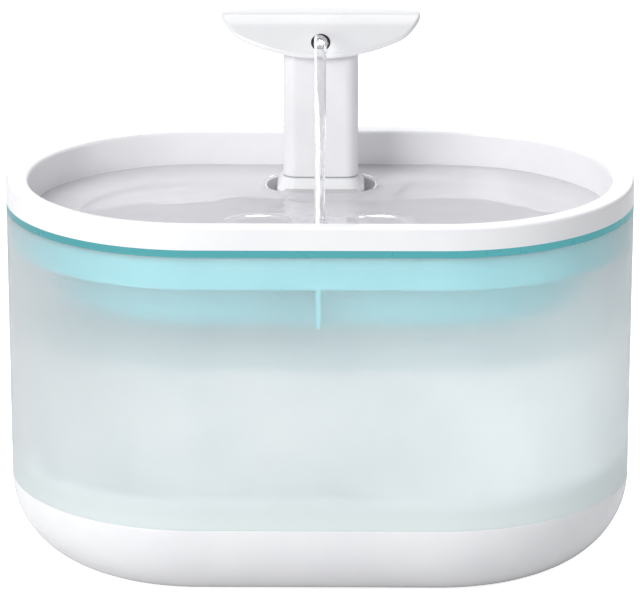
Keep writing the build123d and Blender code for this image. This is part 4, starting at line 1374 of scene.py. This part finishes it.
@dataclass(frozen=True)
class Ripples:
    """The rings that the falling stream sends over the basin.

    Attributes:
        landing: where the stream lands, on X and Y.
        length: the distance from crest to crest.
        height: a crest's height at the landing.
        reach: how far out the rings fall to a third.
        calm: how far from the landing the first crest is whole.
        uneven: how far the rings differ from one side to another, as a share of their height.
        uneven_size: how far apart such differences lie.
        swell: the height of the slow swell all over.
        swell_size: the swell's length along X and along Y.
        swell_start: where the swell starts along X, in radians.
        chop: the size of the uneven chop on the swell.
        chop_layer: the height in the noise that the chop is read at.
        lobe: the half length and half depth of the curl of water on each side of the landing.
        lobe_middle: the curl's middle, out and back from the landing.
        lobe_width: the width of a curl's ridge, as a share of its size.
        lobe_height: the height of a curl's ridge.
        lobe_front: how far towards the drinking side a curl reaches, as a share of its half depth.
    """

    landing: tuple[float, float]
    length: float = 9.0
    height: float = 0.8
    reach: float = 7.0
    calm: float = 3.0
    uneven: float = 0.5
    uneven_size: float = 17.0
    swell: float = 0.06
    swell_size: tuple[float, float] = (11.0, 9.0)
    swell_start: float = 0.6
    chop: float = 8.0
    chop_layer: float = 3.0
    lobe: tuple[float, float] = (11.0, 8.0)
    lobe_middle: tuple[float, float] = (20.5, 2.5)
    lobe_width: float = 0.2
    lobe_height: float = 0.72
    lobe_front: float = 0.7

    def rise(self, x: float, y: float) -> float:
        """Gives the water's rise above its level at a point.

        Args:
            x: the point's place along X.
            y: the point's place along Y.

        Returns:
            The rise in millimetres, negative in a trough.
        """
        away = math.hypot(x - self.landing[0], y - self.landing[1])
        uneven = 1.0 + self.uneven * noise.noise(Vector((x, y, 0.0)) / self.uneven_size)
        rings = math.cos(2.0 * math.pi * away / self.length) * math.exp(-away / self.reach) * uneven
        swell = math.sin(x / self.swell_size[0] + self.swell_start) * math.cos(y / self.swell_size[1])
        chop = noise.noise(Vector((x, y, self.chop_layer)) / self.chop)
        across = (abs(x - self.landing[0]) - self.lobe_middle[0]) / self.lobe[0]
        along = (y - self.landing[1] - self.lobe_middle[1]) / self.lobe[1]
        ridge = (math.hypot(across, along) - 1.0) / self.lobe_width
        curl = self.lobe_height * math.exp(-ridge * ridge) * smooth_step(self.lobe_front + along)
        return self.height * rings * smooth_step(away / self.calm) + self.swell * (swell + chop) + curl


@dataclass
class DrinkingTray(SubAssembly):
    """The white drinking tray and the water in its basin.

    Attributes:
        wall_inset: from the tray's outside to the basin's wet wall.
        level: the water's level above the basin's floor.
        floor_drop: from the tray's top to the basin's floor.
        pocket_drop: how much deeper the pocket is.
        pocket_inset: from the tray's outside to the pocket.
        floor_round: the round between the basin's wall and floor.
        weir: the drain opening's length, depth and corner.
        platform: how wide the raised floor round the drain is.
        foot: the spout foot's length, depth and corner.
        overlap: how far the water's own surface goes into what holds it, so that no gap shows.
        foot_overlap: how much shorter and narrower than the foot the hole in the water is.
        thin: the least thickness of the water.
        landing_y: where the stream lands.
        steps: how many edges the water's two half circles have together, and each straight.
        rings: how many rings of faces lie between the wall and the foot.
        wall_climb: how high the water climbs the wall, and how far out it fades.
        foot_climb: how high the water climbs the foot, and how far out it fades.
        calm: how far from the foot the ripples are whole.
        drain_from: how far from the middle the drains start along X, and over how much they deepen.
        drain_fall: how far the water falls into the drains.
        drain_lip: how far outside the opening that fall starts, and over how much it goes.
        weir_fall: how far the water's underside falls in the opening, and over how much.
        pocket_edge: how far outside the pocket its side starts, and over how much it goes.
    """

    body: str = "drinking_tray"
    wall_inset: float = 7.9
    level: float = 3.6
    floor_drop: float = 17.0
    pocket_drop: float = 5.0
    pocket_inset: float = 25.0
    floor_round: float = 5.0
    weir: tuple[float, float, float] = (40.0, 26.4, 11.9)
    platform: float = 9.6
    foot: tuple[float, float, float] = (32.0, 24.4, 6.5)
    overlap: float = 0.4
    foot_overlap: float = 1.2
    thin: float = 0.4
    landing_y: float = -16.5
    steps: tuple[int, int] = (320, 72)
    rings: int = 72
    wall_climb: tuple[float, float] = (0.6, 1.3)
    foot_climb: tuple[float, float] = (0.5, 1.0)
    calm: float = 12.0
    drain_from: tuple[float, float] = (12.5, 3.0)
    drain_fall: float = 7.0
    drain_lip: tuple[float, float] = (1.2, 4.5)
    weir_fall: tuple[float, float] = (3.5, 1.5)
    pocket_edge: tuple[float, float] = (0.3, 1.4)

    def __post_init__(self) -> None:
        """Sets the finish of the tray and works out its plans."""
        self.finishes = {"drinking_tray": WHITE_ABS}
        box = NodeBox.of("drinking_tray")
        column = NodeBox.of("spout_column")
        self.plan = CapsulePlan(box.high.x - box.high.y, box.high.y)
        self.wall = self.plan.inset(self.wall_inset)
        self.pocket = self.plan.inset(self.pocket_inset)
        self.floor = box.high.z - self.floor_drop
        self.drain = OblongPlan(*self.weir, column.middle.y)
        length, depth, corner = self.weir
        around = 2.0 * self.platform
        self.raised = OblongPlan(length + around, depth + around, corner + self.platform, column.middle.y)
        self.foot_plan = OblongPlan(*self.foot, column.middle.y)
        self.ripples = Ripples((0.0, self.landing_y))

    def build(self) -> Iterator[bpy.types.Object]:
        """Builds the basin's water: rippled above, and with the basin's own floor below.

        Returns:
            The water.
        """
        length, depth, corner = self.foot
        less = self.foot_overlap
        foot = OblongPlan(length - less, depth - less, corner, self.foot_plan.middle_y)
        mesh = bmesh.new()
        self.plan.inset(self.wall_inset - self.overlap).draw(mesh, *self.steps)
        rim = list(mesh.edges)
        inner = bmesh.ops.extrude_edge_only(mesh, edges=rim)["geom"]
        for vertex in new_verts(inner):
            vertex.co = foot.edge_towards(vertex.co.x, vertex.co.y)
        closed = {*rim, *new_edges(inner)}
        spokes = [e for e in mesh.edges if e not in closed]
        bmesh.ops.subdivide_edges(mesh, edges=spokes, cuts=self.rings - 1, use_grid_fill=True)
        raised = bmesh.ops.extrude_face_region(mesh, geom=list(mesh.faces), use_keep_orig=True)["geom"]
        upper = set(new_verts(raised))
        for vertex in mesh.verts:
            top = self.top(vertex.co.x, vertex.co.y)
            bottom = min(self.bottom(vertex.co.x, vertex.co.y), top - self.thin)
            vertex.co.z = top if vertex in upper else bottom
        yield self.place(finish_piece("basin_water", mesh, BASIN_WATER))

    def top(self, x: float, y: float) -> float:
        """Gives the height of the water's surface.

        Args:
            x: the point's place along X.
            y: the point's place along Y.

        Returns:
            The height, with the ripples, the climb at the walls and the fall into the drains.
        """
        wall = -self.wall.distance(x, y)
        foot = self.foot_plan.distance(x, y)
        sides = ((wall, self.wall_climb), (foot, self.foot_climb))
        climb = sum(height * math.exp(-max(away, 0.0) / reach) for away, (height, reach) in sides)
        start, over = self.drain_from
        lip, slope = self.drain_lip
        beside = smooth_step((abs(x) - start) / over)
        fall = self.drain_fall * beside * smooth_step((lip - self.drain.distance(x, y)) / slope)
        calm = smooth_step(foot / self.calm)
        return self.floor + self.level + self.ripples.rise(x, y) * calm + climb - fall

    def bottom(self, x: float, y: float) -> float:
        """Gives the height of the water's underside, which lies just inside the basin's plastic.

        Args:
            x: the point's place along X.
            y: the point's place along Y.

        Returns:
            The height over the pocket, the raised floor or the round at the wall.
        """
        pocket = max(self.pocket.distance(x, y), -self.raised.distance(x, y))
        start, over = self.pocket_edge
        deep = self.pocket_drop * (1.0 - smooth_step((pocket - start) / over))
        wall = -self.wall.distance(x, y)
        reach = self.floor_round + self.overlap
        short = min(max(self.floor_round - wall, 0.0), reach)
        lift = reach - math.sqrt(max(reach * reach - short * short, 0.0))
        fall, over = self.weir_fall
        fallen = fall * smooth_step(-self.drain.distance(x, y) / over)
        return self.floor - self.overlap - deep + lift - fallen


@dataclass
class Spout(SubAssembly):
    """The spout with its duct and seal, the stream that falls from it, and a line of painted shade round
    its column.

    Attributes:
        speed: the stream's speed at the outlet, in metres a second.
        slope: the outlet axis's angle above the horizon, in degrees.
        width: the stream's width at the outlet.
        end_width: its width where it lands.
        flatness: its thin way against its wide way.
        twist: how far it turns on its way down, in degrees.
        level_drop: from the tray's top to the basin's water.
        start_inside: how far inside the outlet the stream starts.
        mouth_rise: how far above the outlet's middle it leaves.
        steps: how many stretches the stream is drawn in.
        sides: how many edges its section has.
        moment: the milliseconds over which its direction at a time is read.
        past_landing: how long it goes on below the water's level, in milliseconds.
        narrowing: the power of the share fallen that it narrows by.
        turning: the power of the share fallen that it turns by.
        rounding: how fast it grows round.
        foot_spread: how far its foot spreads, as a share of its width, and over what share of the fall.
        column: the column's length, depth and corner.
        corner_steps: how many edges the line round the column has in a corner.
        shade_line_height: the height of the grey line of painted shade where the column stands on its
            collar.
        shade_line_proud: how far that line stands out of the column.
        shade_line_drop: from the tray's top to that line.
    """

    body: str = "spout"
    speed: float = 0.4
    slope: float = 25.0
    width: float = 5.4
    end_width: float = 3.7
    flatness: float = 0.62
    twist: float = 200.0
    level_drop: float = 13.4
    start_inside: float = 2.4
    mouth_rise: float = 1.2
    steps: int = 90
    sides: int = 28
    moment: float = 1.0
    past_landing: float = 1.5
    narrowing: float = 0.6
    turning: float = 0.5
    rounding: float = 1.6
    foot_spread: tuple[float, float] = (0.5, 0.025)
    column: tuple[float, float, float] = (27.4, 19.4, 5.0)
    corner_steps: int = 8
    shade_line_height: float = 0.5
    shade_line_proud: float = 0.08
    shade_line_drop: float = 9.2

    def __post_init__(self) -> None:
        """Sets the finish of each of the spout's nodes."""
        self.finishes = {
            "spout_column": WHITE_ABS,
            "spout_head": WHITE_ABS,
            "spout_duct": SATIN_ABS,
            "outlet_seal": BLACK_NITRILE,
        }

    def path(self) -> tuple[Callable[[float], Vector], float]:
        """Works out the stream's fall.

        Returns:
            A function that gives the stream's middle at a time in milliseconds, and the time that it lands.
        """
        seal = NodeBox.of("outlet_seal")
        angle = math.radians(self.slope)
        axis = Vector((0.0, -math.cos(angle), math.sin(angle)))
        across = Vector((0.0, math.sin(angle), math.cos(angle)))
        mouth = seal.middle + across * self.mouth_rise
        level = NodeBox.of("drinking_tray").high.z - self.level_drop
        rise = self.speed * axis.z
        fall_time = (rise + math.sqrt(rise * rise + 2.0 * GRAVITY * (mouth.z - level))) / GRAVITY

        def middle(time: float) -> Vector:
            """Gives the stream's middle at a time."""
            drop = Vector((0.0, 0.0, -0.5 * GRAVITY * max(time, 0.0) * time))
            return mouth + axis * self.speed * time + drop

        return middle, fall_time

    def build(self) -> Iterator[bpy.types.Object]:
        """Builds the stream, a ring drawn along its fall, and the line of painted shade round the column.

        Returns:
            The two pieces, one by one.
        """
        middle, fall_time = self.path()
        start = -self.start_inside / self.speed
        mesh = bmesh.new()
        bmesh.ops.create_circle(mesh, cap_ends=True, radius=0.5, segments=self.sides)
        edges = list(mesh.edges)
        placed = Matrix.Identity(4)
        verts = list(mesh.verts)
        for step in range(self.steps + 1):
            share = step / self.steps
            time = start + (fall_time + self.past_landing - start) * share
            here = self.section(middle, time, share)
            if step:
                drawn = bmesh.ops.extrude_edge_only(mesh, edges=edges)["geom"]
                verts, edges = new_verts(drawn), new_edges(drawn)
            bmesh.ops.transform(mesh, verts=verts, matrix=here @ placed.inverted())
            placed = here
        bmesh.ops.contextual_create(mesh, geom=edges)
        yield self.place(finish_piece("falling_stream", mesh, STREAM_WATER))
        yield self.collar_line()

    def collar_line(self) -> bpy.types.Object:
        """Builds the grey band of painted shade that shows as a line round the column where it meets its
        collar: a plate extruded to its height.

        Returns:
            The band.
        """
        length, depth, corner = self.column
        around = 2.0 * self.shade_line_proud
        low = NodeBox.of("drinking_tray").high.z - self.shade_line_drop
        mesh = bmesh.new()
        bmesh.ops.create_grid(mesh, x_segments=1, y_segments=1, size=0.5)
        bmesh.ops.scale(mesh, verts=mesh.verts, vec=(length + around, depth + around, 1.0))
        bmesh.ops.bevel(
            mesh,
            geom=list(mesh.verts),
            offset=corner + self.shade_line_proud,
            segments=self.corner_steps,
            affect="VERTICES",
            profile=0.5,
            material=-1,
        )
        raised = bmesh.ops.extrude_face_region(mesh, geom=list(mesh.faces), use_keep_orig=True)["geom"]
        bmesh.ops.translate(mesh, verts=new_verts(raised), vec=(0.0, 0.0, self.shade_line_height))
        bmesh.ops.translate(mesh, verts=mesh.verts, vec=(0.0, NodeBox.of("spout_column").middle.y, low))
        # A grey band of painted shade in grey silicone's colour, where the column stands on its collar.
        return self.place(finish_piece("collar_line", mesh, GREY_SILICONE, smooth=False), "grey_silicone")

    def section(self, middle: Callable[[float], Vector], time: float, share: float) -> Matrix:
        """Gives the place, turn and size of the stream's section at a time.

        Args:
            middle: gives the stream's middle at a time.
            time: the time since the outlet, in milliseconds.
            share: how far down the stream this is, from 0 to 1.

        Returns:
            The matrix that takes a unit ring there.
        """
        before, after = time - self.moment / 2.0, time + self.moment / 2.0
        way = middle(after) - middle(before)
        turned = way.to_track_quat("Z", "X").to_matrix().to_4x4()
        width = self.width + (self.end_width - self.width) * share**self.narrowing
        wider, over = self.foot_spread
        width *= 1.0 + wider * smooth_step((share - (1.0 - over)) / over)
        flat = self.flatness + (1.0 - self.flatness) * smooth_step(share * self.rounding)
        twist = Matrix.Rotation(math.radians(self.twist) * share**self.turning, 4, "Z")
        size = Matrix.Diagonal((width, width * flat, 1.0, 1.0))
        return Matrix.Translation(middle(time)) @ turned @ twist @ size


# ---------------------------------------------------------------- studio


def hang(
    name: str,
    data: bpy.types.Light | bpy.types.Camera,
    place: tuple[float, float, float],
    target: tuple[float, float, float],
) -> bpy.types.Object:
    """Puts a lamp or the camera in its place and points it.

    Args:
        name: its name.
        data: the lamp or camera.
        place: where it hangs, in metres.
        target: what it points at, in metres.

    Returns:
        The object that holds it.
    """
    holder = bpy.data.objects.new(name, data)
    holder.location = place
    holder.rotation_mode = "QUATERNION"
    holder.rotation_quaternion = (Vector(target) - Vector(place)).to_track_quat("-Z", "Y")
    bpy.context.scene.collection.objects.link(holder)
    return holder


@dataclass(frozen=True)
class Softbox:
    """A soft studio light.

    Attributes:
        name: the light's name.
        place: where it hangs, in metres.
        size: its width in metres.
        power: its power in watts.
        only: the pieces that it lights, when flags keep it off all others.
        spares: the pieces that flags keep it off.
        aim: what it points at, in metres.
        flat: its height as a share of its width.
        shine: whether it is seen in gloss alone.
    """

    name: str
    place: tuple[float, float, float]
    size: float
    power: float
    only: tuple[str, ...] = ()
    spares: tuple[str, ...] = ()
    aim: tuple[float, float, float] = (0.0, 0.0, 0.09)
    flat: float = 1.0
    shine: bool = False

    def set_up(self) -> None:
        """Hangs the light, and sets its flags."""
        lamp = bpy.data.lights.new(self.name, "AREA")
        lamp.shape = "RECTANGLE"
        lamp.size, lamp.size_y = self.size, self.size * self.flat
        lamp.energy = self.power
        holder = hang(self.name, lamp, self.place, self.aim)
        holder.visible_diffuse = not self.shine
        if self.only or self.spares:
            flagged = bpy.data.collections.new(self.name + "_flags")
            for name in self.only or self.spares:
                flagged.objects.link(bpy.data.objects[name])
            for link in flagged.collection_objects:
                link.light_linking.link_state = "INCLUDE" if self.only else "EXCLUDE"
            holder.light_linking.receiver_collection = flagged


CLEAR_PIECES = ("tank", "tank_water")
WET_PIECES = ("basin_water", "falling_stream")
LAMPS = (
    Softbox("key_light", (-0.75, -1.0, 0.8), 0.7, 12.2, spares=(*CLEAR_PIECES, "spout_head")),
    Softbox("head_light", (-0.9, -1.25, 0.25), 0.7, 14.2, only=("spout_head",)),
    Softbox("top_light", (-0.1, 0.55, 1.3), 1.1, 9.0, spares=CLEAR_PIECES),
    Softbox("back_light", (0.1, 1.6, 0.45), 1.2, 4.5, spares=("basin_water",)),
    Softbox("tank_light", (-0.45, -1.4, 0.3), 1.2, 15.5, only=("tank",)),
    Softbox("water_light", (1.1, -1.1, 0.3), 1.8, 49.0, only=("tank_water",)),
    Softbox("tray_light", (1.2, -1.0, 0.35), 0.6, 9.5, only=("filter_tray",)),
    Softbox("ripple_light", (0.0, 1.0, 1.15), 1.6, 32.0, only=WET_PIECES, flat=0.15, shine=True),
)


@dataclass(frozen=True)
class FloorPaper(Finish):
    """A studio's white paper sweep: matt, with a faint fibre.

    Attributes:
        name: the material's name.
        colour: its colour.
        shade: its slightly deeper colour between the fibres.
        fibre: the fibre's size in millimetres.
        glow: how far it glows where the camera sees it.
    """

    name: str = "paper_white"
    colour: str = "E8E8E8"
    shade: str = "E2E2E2"
    fibre: float = 6.0
    glow: float = 0.9

    def wire(self, tree: bpy.types.NodeTree) -> bpy.types.NodeSocket:
        """Adds the paper, which glows where the camera sees it, so that it stays white.

        Args:
            tree: an empty material tree.

        Returns:
            The shader output that the surface takes.
        """
        fibre = surface_noise(tree, self.fibre)
        shades = between(tree, fibre, linear(self.colour), linear(self.shade))
        paper = add_node(tree, "ShaderNodeBsdfDiffuse", {"Color": shades}).outputs["BSDF"]
        light = {"Color": WHITE, "Strength": self.glow}
        glow = add_node(tree, "ShaderNodeEmission", light).outputs["Emission"]
        seen = add_node(tree, "ShaderNodeLightPath").outputs["Is Camera Ray"]
        lit = add_node(tree, "ShaderNodeAddShader", {0: paper, 1: glow}).outputs["Shader"]
        return add_node(tree, "ShaderNodeMixShader", {0: seen, 1: paper, 2: lit}).outputs["Shader"]


@dataclass
class Studio:
    """The white sweep, the soft light from the upper left and the camera.

    Attributes:
        lens: the camera's lens in millimetres.
        sensor: the camera's sensor width in millimetres.
        clip: the nearest and farthest that the camera sees, in metres.
        eye: the camera's place in metres.
        target: what it looks at.
        sky_colour: the room's colour.
        sky: how bright the room's light is on the object.
        gloss: how bright the room is in gloss.
        floor_size: half the floor's width in millimetres.
        floor_steps: how many faces the floor has along a side.
    """

    lens: float = 220.0
    sensor: float = 36.0
    clip: tuple[float, float] = (0.05, 20.0)
    eye: tuple[float, float, float] = (0.01217, -1.35247, 0.5108)
    target: tuple[float, float, float] = (0.0, 0.0, 0.096)
    sky_colour: str = "FBFCFF"
    sky: float = 0.48
    gloss: float = 0.25
    floor_size: float = 4000.0
    floor_steps: int = 8

    def set_up(self) -> None:
        """Puts up the floor, the room's light, the lamps and the camera."""
        scene = bpy.context.scene
        scene.view_settings.view_transform = "Standard"
        self.lay_floor()
        self.light_room(scene)
        for lamp in LAMPS:
            lamp.set_up()
        camera = bpy.data.cameras.new("camera")
        camera.lens = self.lens
        camera.sensor_width = self.sensor
        camera.clip_start, camera.clip_end = self.clip
        scene.camera = hang("camera", camera, self.eye, self.target)

    def lay_floor(self) -> None:
        """Lays the white paper that the fountain stands on."""
        mesh = bmesh.new()
        steps = self.floor_steps
        bmesh.ops.create_grid(mesh, x_segments=steps, y_segments=steps, size=self.floor_size)
        floor = finish_piece("studio_floor", mesh, FloorPaper())

    def light_room(self, scene: bpy.types.Scene) -> None:
        """Makes the room white to look at and softly bright on the object.

        Args:
            scene: the scene that gets the world.
        """
        world = bpy.data.worlds.new("studio_room")
        world.use_nodes = True
        tree = world.node_tree
        tree.nodes.clear()

        def light(colour: tuple[float, float, float, float], strength: float) -> bpy.types.NodeSocket:
            """Adds a background of one colour and strength."""
            inputs = {"Color": colour, "Strength": strength}
            return add_node(tree, "ShaderNodeBackground", inputs).outputs["Background"]

        sky = linear(self.sky_colour)
        rays = add_node(tree, "ShaderNodeLightPath").outputs
        seen = math_node(tree, "MAXIMUM", rays["Is Camera Ray"], rays["Is Transmission Ray"])
        shares = {0: rays["Is Glossy Ray"], 1: light(sky, self.sky), 2: light(sky, self.gloss)}
        lit = add_node(tree, "ShaderNodeMixShader", shares).outputs["Shader"]
        mixed = add_node(tree, "ShaderNodeMixShader", {0: seen, 1: lit, 2: light(WHITE, 1.0)})
        add_node(tree, "ShaderNodeOutputWorld", {"Surface": mixed.outputs["Shader"]})
        scene.world = world


def assemblies() -> Iterable[SubAssembly]:
    """Gives the fountain's sub-assemblies from the floor up.

    Returns:
        The sub-assemblies, each with its usual sizes.
    """
    return (
        PowerBase(),
        Tank(),
        Pump(),
        Impeller(),
        IntakeCover(),
        FilterTray(),
        FilterCartridge(),
        DrinkingTray(),
        Spout(),
    )


def main() -> None:
    """Sets up the studio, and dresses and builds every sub-assembly."""
    logging.basicConfig(level=logging.INFO, format="%(message)s")
    for assembly in assemblies():
        for piece in assembly.dress():
            LOG.info("%s: %s in %s", assembly.body, piece.name, piece.active_material.name)
        for piece in assembly.build():
            LOG.info("%s: built %s, %d faces", assembly.body, piece.name, len(piece.data.polygons))
    Studio().set_up()


if __name__ == "__main__":
    main()
